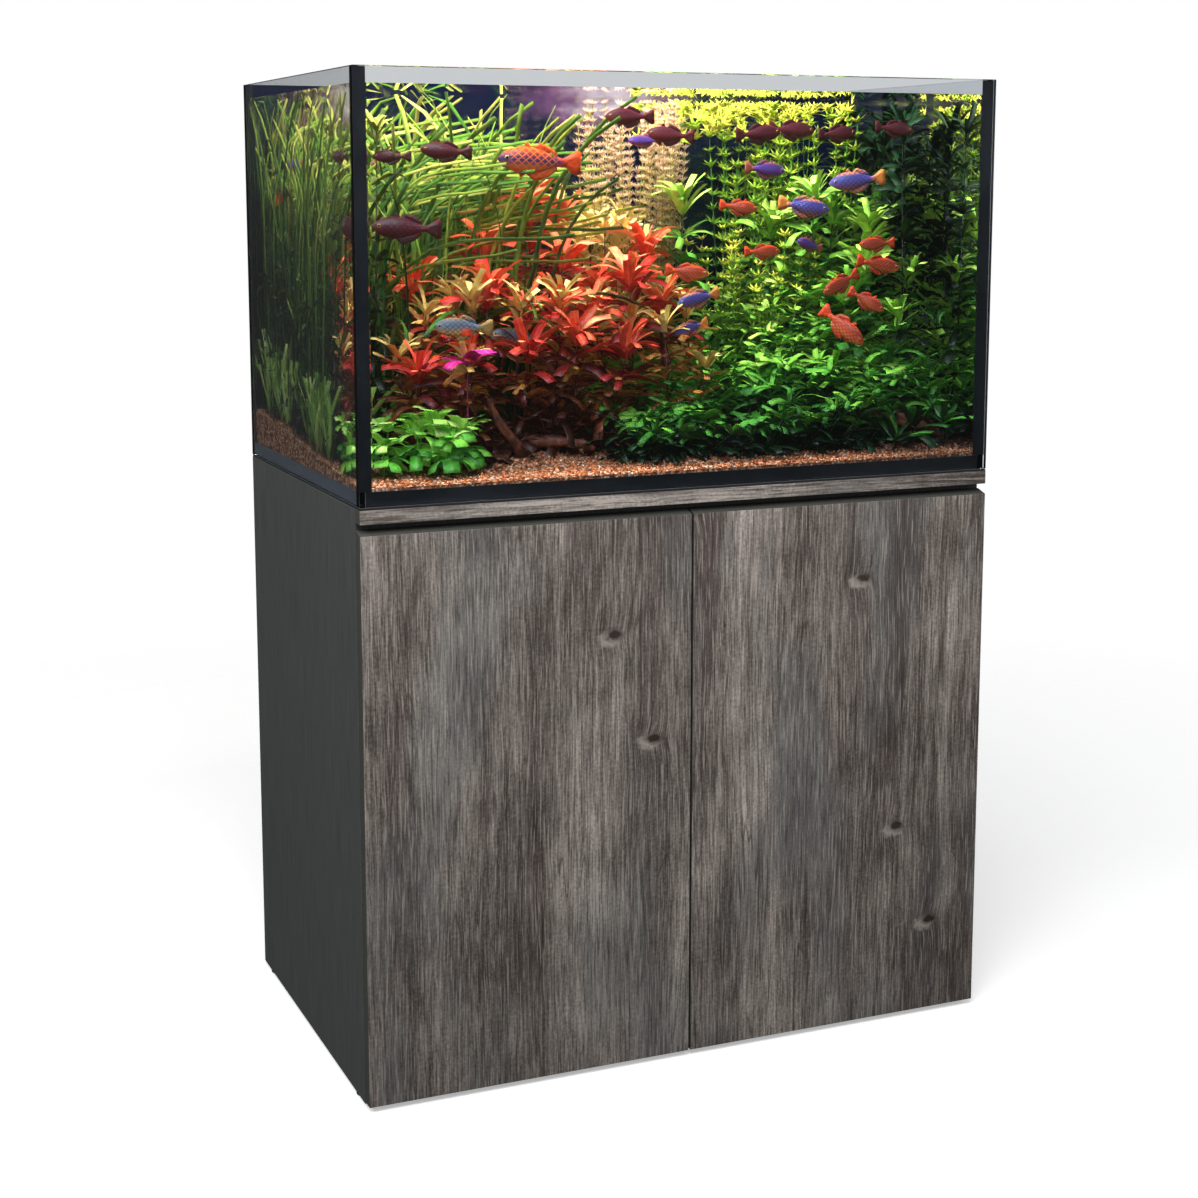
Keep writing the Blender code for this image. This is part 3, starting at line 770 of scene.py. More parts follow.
# %% Piece: the gravel bed, heaps and unevenness
STEP = 0.004  # a little less than one cell of the grid
HEAPS = [
    # place, how high, how wide
    ((-0.17, -0.06), 0.026, 0.17),
    ((0.22, 0.05), 0.018, 0.20),
    ((-0.34, 0.10), 0.014, 0.14),
    ((0.02, -0.17), 0.008, 0.08),
    ((0.36, -0.18), 0.006, 0.07),
]
for (x, y), lift, reach in HEAPS:
    pick(bed, "VERT", lambda co: abs(co.x - x) < STEP and abs(co.y - y) < STEP)
    bpy.ops.transform.translate(
        value=(0, 0, lift),
        use_proportional_edit=True,
        proportional_edit_falloff="SMOOTH",
        proportional_size=reach,
    )
    done()
inner = (size[0] / 2 - STEP, FRONT + STEP, BACK - STEP)
pick(bed, "VERT", lambda co: abs(co.x) < inner[0] and inner[1] < co.y < inner[2])
bpy.ops.transform.vertex_random(offset=0.0016, uniform=0.3, normal=0.7, seed=3)
done()
print("heaps", len(HEAPS))

# %% [markdown]
# The grid has no thickness yet. It is extruded down, and the lower side is flattened just above the base
# pane, which closes the bed into one solid.

# %% Piece: the gravel bed, closed below
BED_LIFT = 0.0004
pick_all()
bpy.ops.mesh.extrude_region_move(TRANSFORM_OT_translate={"value": (0, 0, -0.2)})
bpy.ops.transform.resize(value=(1, 1, 0), center_override=(0, 0, BED_BASE + BED_LIFT))
done()
outward(bed)
print("gravel", len(bed.data.polygons), "faces, top", round(max(v.co.z for v in bed.data.vertices), 4))

# %% [markdown]
# The gravel's colour comes from small cells, each its own shade of orange, brown, pink or cream, darker
# in the joints between grains. The same cells give the bump. Towards the right it is painted darker,
# which is painted shade.

# %% Finish: gravel
# painted shade: from this place to the right pane the gravel's brightness falls to this share
PAINTED_SHADE_START, PAINTED_SHADE_VALUE = -0.05, 0.35


def painted_shade_to_right(tree, place):
    """A brightness that falls off towards the right of the tank."""
    to_right = add(tree, "SeparateXYZ", {0: place}).outputs[0]
    return remap(tree, to_right, PAINTED_SHADE_START, RIGHT, 1.0, PAINTED_SHADE_VALUE)


gravel, tree, shader = new_finish("orange_gravel")
place = add(tree, "TexCoord").outputs["Object"]
cell = add(tree, "TexVoronoi", {"Vector": place, "Scale": 240.0})
tint = add(tree, "SeparateColor", {0: cell.outputs["Color"]})
grains = ramp(
    tree,
    tint.outputs[0],
    [
        (0.0, paint(120, 62, 32)),
        (1.0, paint(248, 218, 188)),
        (0.35, paint(192, 110, 62)),
        (0.60, paint(226, 146, 92)),
        (0.80, paint(232, 172, 138)),
    ],
)
dark_joint_and_shade = remap(tree, cell.outputs["Distance"], 0.25, 0.62, 1.0, 0.25)
# the painted shade towards the right is laid over the dark joints
dark_joint_and_shade = times(tree, dark_joint_and_shade, painted_shade_to_right(tree, place))
dark_joints_and_shade = add(tree, "CombineXYZ", {0: dark_joint_and_shade, 1: dark_joint_and_shade, 2: dark_joint_and_shade}).outputs[0]
tree.links.new(blended(tree, 1.0, grains, dark_joints_and_shade, "MULTIPLY"), shader.inputs["Base Color"])
shader.inputs["Roughness"].default_value = 0.6
bumped(tree, shader, minus(tree, 1.0, cell.outputs["Distance"]), 0.002, 0.8)
bed.data.materials.append(gravel)
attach(bed, "root")
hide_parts("gravel_bed")
print("finish", gravel.name)


# %% [markdown]
# ## Copies that become one piece
# A plant is one leaf, modelled once and copied many times. Each copy gets its own mesh, moved and turned
# into place, and a number called tone that its material reads, so that no two leaves are one green. The
# copies are then joined, and the original is put away.

# %% Helpers: copy, gather and plant
def put_away(*patterns):
    """Removes originals that have been copied."""
    for pattern in patterns:
        bpy.data.objects.remove(pattern)


HANDFUL = 80  # joining thousands at once would be slow


def join_up(name, pieces):
    """Joins objects into the first of them."""
    let_go()
    for piece in pieces:
        piece.select_set(True)
    bpy.context.view_layer.objects.active = pieces[0]
    bpy.ops.object.join()
    return fresh(name)


def gather(name, copies):
    """One object made from a copy of a pattern for each (pattern, matrix, tone), joined by the handful."""
    if len(copies) > HANDFUL:
        starts = range(0, len(copies), HANDFUL)
        return join_up(name, [gather(name, copies[start:start + HANDFUL]) for start in starts])
    made = []
    for pattern, place, tone in copies:
        mesh = pattern.data.copy()
        mesh.transform(place)
        shade = mesh.attributes.get("tone") or mesh.attributes.new("tone", "FLOAT", "POINT")
        held = [value.value + tone for value in shade.data]
        shade.data.foreach_set("value", held)
        copy = bpy.data.objects.new(name, mesh)
        scene.collection.objects.link(copy)
        made.append(copy)
    return join_up(name, made)


def plant(piece, finish):
    """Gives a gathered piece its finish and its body."""
    piece.data.materials.clear()
    piece.data.materials.append(finish)
    piece.data.shade_smooth()
    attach(piece, "root")
    print(piece.name, sum(len(face.vertices) - 2 for face in piece.data.polygons), "triangles")
    return piece


# %% [markdown]
# A copy's place is a matrix. These helpers aim a leaf from its root, spread leaves round a stem, and find
# the ground under a plant.

# %% Helpers: aim, spread and find the ground
def aimed(root, direction, size=1.0, width=1.0, roll=0.0):
    """A matrix that puts a leaf's base at root and points its length along direction, face up."""
    along = Vector(direction).normalized()
    up = Vector((0, 0, 1)) if abs(along.z) < 0.98 else Vector((0, -1, 0))
    across = along.cross(up).normalized()
    face = across.cross(along).normalized()
    turned = Matrix((across, along, face)).transposed() @ Matrix.Rotation(roll, 3, "Y")
    return Matrix.Translation(root) @ (turned @ Matrix.Diagonal((size * width, size, size))).to_4x4()


def spread(angle, climb):
    """A direction that leaves the stem at an angle round it, climbing by so many degrees."""
    level = math.cos(math.radians(climb))
    return (math.cos(angle) * level, math.sin(angle) * level, math.sin(math.radians(climb)))


def bed_at(x, y):
    """The height of the gravel's surface under a place, found by a ray straight down."""
    found, spot, _, _ = bed.ray_cast((x, y, RIM), (0, 0, -1))
    return spot.z if found else BED_FRONT


print("gravel in the middle is", round(bed_at(0, 0) - BED_BASE, 3), "m deep")


# %% [markdown]
# Single grains lie on the bed, and their outlines break its edge against the glass. Three ico spheres are
# squashed and shaken into pebbles, and thousands of small copies are strewn, thickest at the front. Each
# pebble has only a few faces.

# %% Pieces: loose pebbles
PEBBLE_KINDS, PEBBLES = 3, 2600
pebbles = []
for number in range(PEBBLE_KINDS):
    let_go()
    bpy.ops.mesh.primitive_ico_sphere_add(subdivisions=1, radius=0.5)
    pebble = fresh(f"pebble_pattern_{number}")
    pick_all()
    bpy.ops.transform.resize(value=(1.0, 0.8, 0.62))
    bpy.ops.transform.vertex_random(offset=0.10, seed=number + 1)
    done()
    pebbles.append(pebble)
rng = random.Random(11)
strewn = []
for number in range(PEBBLES):
    x = rng.uniform(LEFT + 0.004, RIGHT - 0.004)
    y = FRONT + 0.0045 + (BACK - FRONT - 0.01) * rng.random() ** 2.2
    width = rng.uniform(0.0030, 0.0060)
    turn = Euler([rng.uniform(0, math.tau) for _ in range(3)]).to_matrix().to_4x4()
    spot = Matrix.Translation((x, y, bed_at(x, y) + 0.2 * width))
    strewn.append((rng.choice(pebbles), spot @ turn @ Matrix.Scale(width, 4), rng.random()))
loose = gather("loose_pebbles", strewn)
put_away(*pebbles)
print("pebbles", PEBBLES)

# %% [markdown]
# The pebbles take the colours of the bed, but each from its own tone, so that a grain is one colour.

# %% Finish: loose pebbles
pebble_finish, tree, shader = new_finish("loose_pebbles")
tone = add(tree, "Attribute", attribute_name="tone").outputs["Fac"]
place = add(tree, "TexCoord").outputs["Object"]
mottle = both_ways(tree, noise(tree, place, 500.0, 2.0), 0.3)
shade = ramp(
    tree,
    plus(tree, tone, mottle),
    [
        (0.0, paint(140, 66, 34)),
        (1.0, paint(240, 206, 172)),
        (0.40, paint(200, 114, 62)),
        (0.66, paint(224, 144, 94)),
        (0.84, paint(220, 160, 132)),
    ],
)
# painted shade: the pebbles darken towards the right, as the bed does
shade = add(tree, "HueSaturation", {"Color": shade, "Value": painted_shade_to_right(tree, place)}).outputs[0]
tree.links.new(shade, shader.inputs["Base Color"])
shader.inputs["Roughness"].default_value = 0.5
plant(loose, pebble_finish)


# %% [markdown]
# ## Leaf finishes
# A leaf has a pale midrib and fine side veins that run forward from it. The group draws them from the
# leaf's own UV map, where U runs across the leaf and V along it. Each plant has its own ramp of colours,
# and each leaf's tone says where on the ramp it stands, with some mottling.

# %% Group: leaf veins
vein_group, get, put = new_group(
    "leaf_veins", [("UV", "Vector")], [("Rib", "Float"), ("Height", "Float")]
)
tree = vein_group
across, along, _ = add(tree, "SeparateXYZ", {0: get["UV"]}).outputs
from_rib = sums(tree, "ABSOLUTE", minus(tree, across, 0.5))
rib = remap(tree, from_rib, 0.0, 0.07, 1.0, 0.0)
slanted = minus(tree, along, times(tree, from_rib, 0.45))
side_vein = sums(tree, "PINGPONG", times(tree, slanted, 22.0), 1.0)
side_vein = remap(tree, side_vein, 0.0, 0.25, 0.35, 0.0)
both = sums(tree, "MAXIMUM", rib, side_vein)
tree.links.new(both, put["Rib"])
tree.links.new(minus(tree, 1.0, both), put["Height"])
print("group", vein_group.name, "nodes", len(vein_group.nodes))


# %% [markdown]
# A leaf's finish looks up its tone on the ramp and lays the veins over it. A thin leaf lets light through.
# Real translucency would be slow for so many leaves, and an export would lose it, so each finish gives
# off a little light of its own colour instead.

# %% Finish: leaves
def leaf_finish(name, stops, rough=0.42, veins=True, shine=0.5, lift=0.0, climb=0.0):
    """A leaf's colours over its tone, which climb raises towards the surface.

    lift is a little light of its own, for the light that passes through a thin leaf.
    """
    finish, tree, shader = new_finish(name)
    tone = add(tree, "Attribute", attribute_name="tone").outputs["Fac"]
    place = add(tree, "TexCoord").outputs["Object"]
    mottle = both_ways(tree, noise(tree, place, 60.0, 3.0), 0.5)
    up = add(tree, "SeparateXYZ", {0: place}).outputs[2]
    # painted light: the tone is raised with height, so leaves are painted brighter towards the surface
    painted_light_by_height = times(tree, minus(tree, up, (BED_FRONT + RIM) / 2), climb)
    tone = plus(tree, tone, painted_light_by_height)
    count = len(stops) - 1
    spaced = [(0.0, stops[0]), (1.0, stops[-1])]
    spaced += [(number / count, stops[number]) for number in range(1, count)]
    shade = ramp(tree, plus(tree, tone, mottle), [(at, paint(*colour)) for at, colour in spaced])
    if veins:
        uv = add(tree, "TexCoord").outputs["UV"]
        drawn = use_group(tree, vein_group, {"UV": uv})
        pale = add(tree, "HueSaturation", {"Color": shade, "Value": 1.6, "Saturation": 0.8}).outputs[0]
        shade = blended(tree, times(tree, drawn["Rib"], 0.45), shade, pale)
        bumped(tree, shader, drawn["Height"], 0.0004, 0.5)
    tree.links.new(shade, shader.inputs["Base Color"])
    patchy = remap(tree, noise(tree, place, 120.0, 2.0), 0.3, 0.7, rough - 0.1, rough + 0.12)
    tree.links.new(patchy, shader.inputs["Roughness"])
    shader.inputs["Specular IOR Level"].default_value = shine
    if lift:
        tree.links.new(shade, shader.inputs["Emission Color"])
        shader.inputs["Emission Strength"].default_value = lift
    return finish


print("leaf finish uses group", vein_group.name)


# %% [markdown]
# The ramps carry painted light and shade: they run from painted shade on the leaves near the gravel to
# the brightly painted ones under the surface. Fine leaves have no veins that could be seen.

# %% Finishes: one for each kind of leaf
blade_green = leaf_finish(
    "blade_green",
    [(16, 38, 12), (38, 74, 20), (76, 110, 32), (126, 138, 46), (182, 170, 86)],
    lift=0.06,
    climb=1.5,
)
lance_green = leaf_finish(
    "lance_green",
    [(8, 26, 10), (24, 66, 22), (54, 118, 34), (106, 162, 48), (174, 204, 88)],
    lift=0.08,
    climb=0.8,
)
dark_green = leaf_finish("dark_green", [(5, 16, 8), (14, 40, 18), (34, 74, 32)])
pale_green = leaf_finish(
    "pale_green", [(66, 104, 44), (104, 150, 62), (150, 186, 90), (196, 214, 132)], lift=0.14
)
bright_green = leaf_finish(
    "bright_green", [(32, 92, 24), (78, 160, 44), (138, 204, 68), (196, 232, 122)], lift=0.14
)
olive_green = leaf_finish(
    "olive_green", [(14, 24, 10), (40, 54, 20), (88, 98, 40), (148, 150, 68)], lift=0.04, climb=1.2
)
red = leaf_finish(
    "red_leaf",
    [(66, 10, 12), (134, 22, 20), (200, 44, 32), (230, 92, 52), (242, 168, 112)],
    lift=0.13,
    climb=0.8,
)
brown = leaf_finish(
    "brown_leaf",
    [(50, 22, 12), (104, 50, 22), (152, 88, 36), (190, 136, 60), (216, 190, 110)],
    lift=0.12,
    climb=0.8,
)
magenta = leaf_finish("magenta_leaf", [(120, 8, 70), (190, 20, 110), (220, 60, 150)], lift=0.10)
yellow_whorl = leaf_finish(
    "yellow_whorl",
    [(26, 62, 14), (62, 112, 24), (104, 148, 34), (152, 176, 46), (204, 198, 72)],
    veins=False,
    lift=0.05,
    climb=0.9,
)
cream_fine = leaf_finish(
    "cream_fine",
    [(84, 84, 38), (138, 128, 66), (190, 160, 106), (236, 190, 160)],
    veins=False,
    lift=0.08,
    climb=1.2,
)
print("materials so far", len(bpy.data.materials))


# %% [markdown]
# ## One leaf
# Every leaf starts as a narrow grid with its base at the origin. Each cross row is widened or narrowed to
# draw the outline, the middle is pushed down for the fold along the midrib, and the rows are turned a
# little further one after another, which curls the leaf. A thin Solidify gives it two sides.

# %% Helper: model one leaf
def leaf_pattern(name, length, width, outline, fold=0.12, bends=(), twist=0.0, thick=0.0006):
    """A leaf along Y. outline is the share of the width at each row, and bends each row's own turn.

    twist turns the leaf about its length, all of it by half way up.
    """
    rows = len(outline) - 1
    step = length / rows
    let_go()
    bpy.ops.mesh.primitive_grid_add(x_subdivisions=2, y_subdivisions=rows, size=1, calc_uvs=True)
    leaf = fresh(name)
    pick_all()
    bpy.ops.transform.translate(value=(0, 0.5, 0))
    bpy.ops.transform.resize(value=(width, length, 1), center_override=(0, 0, 0))
    done()
    for row, share in enumerate(outline):
        pick(leaf, "VERT", lambda co: abs(co.y - row * step) < step / 3)
        bpy.ops.transform.resize(value=(max(share, 0.03), 1, 1), center_override=(0, 0, 0))
    pick(leaf, "VERT", lambda co: abs(co.x) < width * 0.001)
    bpy.ops.transform.translate(value=(0, 0, -fold * width))
    done()
    order = sorted(range(len(leaf.data.vertices)), key=lambda n: leaf.data.vertices[n].co.y)

    def turn_beyond(row, axis, degrees, centre):
        """Turns all the rows after this one."""
        beyond = [tuple(leaf.data.vertices[n].co) for n in order[3 * (row + 1):]]
        pick(leaf, "VERT", lambda co: tuple(co) in beyond)
        bpy.ops.transform.rotate(value=math.radians(degrees), orient_axis=axis, center_override=centre)
        done()

    if twist:
        for row in range(rows // 2):
            turn_beyond(row, "Y", twist / (rows // 2), (0, 0, 0))
    spine = (0.0, 0.0, 0.0)
    bent = 0.0
    for row, turn in enumerate(bends):
        turn_beyond(row, "X", turn, spine)
        bent += math.radians(turn)
        spine = (0.0, spine[1] + step * math.cos(bent), spine[2] - step * math.sin(bent))
    skin = leaf.modifiers.new("skin", "SOLIDIFY")
    skin.thickness = thick
    skin.offset = 0
    return settle(leaf)


print("leaf helper is ready")


# %% [markdown]
# Ten leaves serve all the plants: narrow ones that curl, wave or stand straight, a broad oval one, and
# long ribbons that rise straight and then lie over.

# %% Patterns: the leaves
LANCE = [0.14, 0.90, 1.0, 0.60, 0.04]
POINTED = [0.20, 0.82, 1.0, 0.66, 0.30, 0.02]
OVAL = [0.10, 0.62, 1.0, 0.96, 0.66, 0.05]
RIBBON = [0.7] + [1.0] * 10 + [0.75, 0.15]
OVER_EARLY = [0, 3, 4, 6, 9, 14, 18, 16, 10, 4, 0, -6]
OVER_LATE = [0, 1, -2, 2, 3, 4, 8, 18, 24, 20, 8, -4]

lance_curled = leaf_pattern("lance_curled", 1.0, 0.215, LANCE, 0.14, [6, 12, 18, 22])
lance_straight = leaf_pattern("lance_straight", 1.0, 0.195, LANCE, 0.12, [2, 5, 8, 10])
lance_wavy = leaf_pattern("lance_wavy", 1.0, 0.18, LANCE, 0.10, [-14, 12, 26, 4])
lance_point = leaf_pattern("lance_point", 1.0, 0.19, POINTED, 0.18, [-4, 4, 8, 10, 10])
lance_arched = leaf_pattern("lance_arched", 1.0, 0.21, POINTED, 0.16, [6, 12, 16, 18, 14])
oval_leaf = leaf_pattern("oval_leaf", 1.0, 0.46, OVAL, 0.10, [4, 10, 14, 18, 18])
RIBBON_LENGTH = 0.66
ribbon_over = leaf_pattern("ribbon_over", RIBBON_LENGTH, 0.0062, RIBBON, 0.08, OVER_EARLY, 55, 0.0005)
ribbon_edge = leaf_pattern("ribbon_edge", RIBBON_LENGTH, 0.0052, RIBBON, 0.08, OVER_LATE, -70, 0.0005)
ribbon_up = leaf_pattern(
    "ribbon_up", 0.48, 0.0064, RIBBON, 0.08, [0, 3, -4, 3, 5, -4, -5, 6, 8, 10, 12, 10], 50, 0.0005
)
ribbon_low = leaf_pattern(
    "ribbon_low", 0.34, 0.0068, RIBBON, 0.08, [2, 3, 4, 5, 6, 8, 12, 14, 16, 18, 14, 8], 40, 0.0005
)
LEAVES = (lance_curled, lance_straight, lance_wavy, lance_point, lance_arched, oval_leaf)
RIBBONS = (ribbon_over, ribbon_edge, ribbon_up, ribbon_low)
print("leaf patterns", len(LEAVES) + len(RIBBONS), "faces", [len(o.data.polygons) for o in LEAVES])


# %% [markdown]
# A stem is a thin tube of five sides, drawn in at the top. It is copied between two points.

# %% Pattern and helpers: stems
let_go()
bpy.ops.mesh.primitive_cylinder_add(vertices=5, radius=1, depth=1, location=(0, 0, 0.5))
stem_pattern = fresh("stem_pattern")
settle(stem_pattern)
pick(stem_pattern, "VERT", lambda co: co.z > 0.9)
bpy.ops.transform.resize(value=(0.6, 0.6, 1), center_override=(0, 0, 1))
done()


def stem_between(foot, top, radius):
    """A matrix that stretches the stem from foot to top."""
    reach = Vector(top) - Vector(foot)
    turn = reach.to_track_quat("Z", "Y").to_matrix().to_4x4()
    return Matrix.Translation(foot) @ turn @ Matrix.Diagonal((radius, radius, reach.length, 1))


STEM_GAP = 0.02  # from a pane to a stem


def inside(x, y):
    """A place kept clear of the panes."""
    clear_x = max(LEFT + STEM_GAP, min(RIGHT - STEM_GAP, x))
    return clear_x, max(FRONT + STEM_GAP, min(BACK - STEM_GAP, y))


print("stem pattern", len(stem_pattern.data.polygons), "faces")


# %% [markdown]
# Leaves in a tank press against the glass and lie under the surface. A grown plant's points that stray
# through a pane or out of the water are moved back in.

# %% Helpers: grow a plant inside the tank
OFF_PANE, UNDER_SURFACE = 0.004, 0.003


def keep_inside(piece):
    """Moves points that stray through a pane or out of the water back in."""
    for point in piece.data.vertices:
        spot = point.co
        spot.x = max(LEFT + OFF_PANE, min(RIGHT - OFF_PANE, spot.x))
        spot.y = max(FRONT + OFF_PANE, min(BACK - OFF_PANE, spot.y))
        spot.z = min(WATER_LEVEL - UNDER_SURFACE, spot.z)


def grow(name, copies, finish):
    """Gathers the copies into one plant, keeps it inside and gives it its finish."""
    piece = gather(name, copies)
    keep_inside(piece)
    return plant(piece, finish)


# %% [markdown]
# ## Long ribbons at the left
# The left rear corner is full of long ribbon leaves. They rise to the surface and lie over along it to the
# right, where the light turns them yellow-green. Shorter ones fill the corner below. Each is twisted half
# way up, as the real ones are, so that some show their face and some their edge.

# %% Plants: ribbons
LONG_RIBBONS, SHORT_RIBBONS = 150, 270


def upright(x, y, heading, lean, size):
    """A matrix that stands a ribbon on the gravel, leaning and bending towards its heading."""
    turn = Matrix.Rotation(heading - math.pi / 2, 4, "Z")
    tip = Matrix.Rotation(math.radians(90 - lean), 4, "X")
    return Matrix.Translation((x, y, bed_at(x, y) - 0.004)) @ turn @ tip @ Matrix.Scale(size, 4)


rng = random.Random(21)
blades = []
for number in range(LONG_RIBBONS):
    x, y = rng.uniform(-0.42, -0.29), rng.uniform(-0.06, 0.235)
    place = upright(x, y, rng.uniform(-0.9, 0.7), rng.uniform(-6, 8), rng.uniform(0.66, 0.86))
    blades.append((ribbon_edge if number % 3 else ribbon_over, place, rng.uniform(0.0, 0.75)))
for number in range(SHORT_RIBBONS):
    x, y = rng.uniform(-0.425, -0.17), rng.uniform(-0.10, 0.245)
    lean = 2 if x < -0.40 or y > 0.2 else rng.uniform(0, 14)
    place = upright(x, y, rng.uniform(0, math.tau), lean, rng.uniform(0.75, 1.05))
    blades.append((ribbon_up if number % 3 else ribbon_low, place, rng.uniform(0.0, 0.7)))
grow("long_ribbons", blades, blade_green)


# %% [markdown]
# ## Bushes of lance leaves
# Most of the plants are stems with whorls of narrow leaves, tight and upright at the top and wider lower
# down. A whorl is gathered first, wide, half open and upright, twice each, and one helper then grows a
# stem from whorls. Each bush is a list of stems with its own length of leaf and colours.

# %% Helpers: whorls and leafy stems
CLIMBS = (8, 34, 62)


def whorls_of(name, leaves, patterns, rng, climbs=CLIMBS, stray=14):
    """Whorls of leaves one unit long: two for each climb, from wide open to upright."""
    made = []
    for climb in climbs:
        for turn in range(2):
            ring = []
            for leaf in range(leaves):
                angle = math.tau * leaf / leaves + rng.uniform(-0.35, 0.35)
                way = spread(angle, climb + rng.uniform(-stray, stray))
                size = rng.uniform(0.72, 1.1)
                place = aimed((0, 0, 0), way, size, rng.uniform(0.85, 1.2), rng.uniform(-0.5, 0.5))
                ring.append((rng.choice(patterns), place, rng.uniform(-0.16, 0.16)))
            made.append(gather(name, ring))
    return made


def leafy_stem(foot, top, rng, whorls, length, tones, spacing=0.022, openness=1.0):
    """Copies for one stem: whorls from foot to top, then a crown of two upright ones."""
    foot, top = Vector(foot), Vector(top)
    copies = [(stem_pattern, stem_between(foot, top, 0.0016), 0.1)]
    count = max(2, int((top - foot).length / spacing))
    for number in range(count + 2):
        share = min(1.0, (number + 0.5) / count)
        stage = min(2, int(share * 2.2 / openness))
        pattern = whorls[2 * stage + rng.randrange(2)]
        size = length * rng.uniform(0.8, 1.1) * (1.0 - 0.22 * share)
        tilt = Euler((rng.uniform(-0.3, 0.3), rng.uniform(-0.3, 0.3), rng.uniform(0, math.tau)))
        # painted light: the tone rises from foot to top, so a stem is painted brighter higher up
        tone = tones[0] + (tones[1] - tones[0]) * share ** 1.5 + rng.uniform(-0.1, 0.1)
        spot = Matrix.Translation(foot.lerp(top, share))
        copies.append((pattern, spot @ tilt.to_matrix().to_4x4() @ Matrix.Scale(size, 4), tone))
    return copies


print("whorls open by", CLIMBS, "degrees")


# %% [markdown]
# Three kinds of whorl are enough: a loose one of five leaves, a dense one of seven, and a spiky one whose
# leaves end in a long point.

# %% Patterns: the whorls
rng = random.Random(29)
lance_whorls = whorls_of("lance_whorl", 5, [lance_curled, lance_straight, lance_wavy], rng)
dense_whorls = whorls_of("dense_whorl", 7, [lance_curled, lance_straight], rng)
spiky_whorls = whorls_of("spiky_whorl", 7, [lance_point, lance_arched], rng, (8, 30, 46), 24)
print("whorls", len(lance_whorls) + len(dense_whorls) + len(spiky_whorls))


# %% [markdown]
# The red stems are the showpiece, left of the middle: clusters of pointed leaves from deep red to orange.
# Each stands at a place of its own. Its upper third is red, and below that its leaves are orange-brown.

# %% Plants: red stems
RED_TOPS = [
    (-0.24, -0.125, 1.030), (-0.16, -0.025, 1.150), (-0.10, 0.02, 1.125), (-0.005, -0.075, 1.085),
    (-0.13, -0.165, 0.975), (-0.075, -0.085, 1.030), (-0.20, -0.17, 0.955), (-0.29, -0.10, 0.975),
    (-0.045, -0.13, 1.045), (-0.18, -0.10, 1.005), (-0.06, -0.17, 0.955), (-0.33, -0.06, 1.035),
    (-0.12, -0.06, 1.070), (-0.345, -0.16, 0.930), (0.005, -0.12, 1.010), (-0.22, -0.04, 1.085),
    (-0.27, -0.155, 0.950), (-0.10, -0.13, 1.000), (-0.15, -0.135, 1.010),
]
rng = random.Random(31)
red_copies, orange_copies = [], []
for top in RED_TOPS:
    x, y = inside(top[0] + rng.uniform(-0.03, 0.03), top[1] + rng.uniform(0.0, 0.05))
    foot = (x, y, bed_at(x, y))
    middle = Vector(foot).lerp(Vector(top), 0.66)
    orange_copies += leafy_stem(foot, middle, rng, lance_whorls, 0.055, (0.1, 0.6), 0.026, 1.6)
    red_copies += leafy_stem(middle, top, rng, spiky_whorls, 0.078, (0.10, 0.75), 0.026, 0.7)
grow("red_stems", red_copies, red)

# %% [markdown]
# A mass of short brown and olive stems fills the space under the reds, taller towards the back. A few
# tall orange ones stand behind them, in the middle of the tank. They share a piece with the lower parts
# of the red stems.

# %% Plants: brown and orange stems
BROWN_STEMS, ORANGE_STEMS = 74, 16
brown_copies = []
for number in range(BROWN_STEMS):
    x, y = rng.uniform(-0.36, 0.05), rng.uniform(-0.16, 0.12)
    foot = (x, y, bed_at(x, y))
    tall = rng.uniform(0.08, 0.20) + 0.45 * max(0.0, y)
    top = (x + rng.uniform(-0.03, 0.03), y + rng.uniform(-0.03, 0.02), foot[2] + tall)
    brown_copies += leafy_stem(foot, top, rng, lance_whorls, 0.056, (0.0, 1.0), 0.026)
for number in range(ORANGE_STEMS):
    x, y = rng.uniform(-0.09, 0.03), rng.uniform(-0.06, 0.06)
    top = (x, y, rng.uniform(1.07, 1.13))
    orange_copies += leafy_stem((x, y, bed_at(x, y)), top, rng, lance_whorls, 0.050, (0.4, 1.1), 0.024)
grow("orange_stems", orange_copies, brown)
grow("brown_stems", brown_copies, brown)

# %% [markdown]
# The green hill from the middle to the right is grown the same way, low in front and rising to the back,
# with its stems swept to the right. It is gathered in three strips, from front to back.

# %% Plants: the green hill
rng = random.Random(41)
HILL_STRIPS = [
    ("hill_front", -0.200, -0.120, 64),
    ("hill_middle", -0.120, -0.040, 56),
    ("hill_rear", -0.040, 0.060, 46),
]
for name, near, far, stems in HILL_STRIPS:
    copies = []
    for number in range(stems):
        x, y = rng.uniform(-0.10, 0.41), rng.uniform(near, far)
        depth = (y + 0.20) / 0.26
        foot = (x, y, bed_at(x, y))
        tall = (0.03 + 0.17 * depth + rng.uniform(-0.015, 0.03)) * min(1.0, 0.7 + 1.5 * max(0.0, x + 0.10))
        top = (*inside(x + rng.uniform(0.0, 0.05), y + rng.uniform(-0.03, 0.01)), foot[2] + tall)
        # painted light: stems further back, which stand taller, get brighter tones
        tones = (0.08 + 0.15 * depth, 0.64 + 0.30 * depth)
        copies += leafy_stem(foot, top, rng, lance_whorls, 0.054, tones, 0.030, 1.3)
    grow(name, copies, lance_green)

# %% [markdown]
# Behind the hill and at its right end stand taller stems of the same green, with denser whorls. Their
# tips are placed one by one, because their outline shows against the dark film.

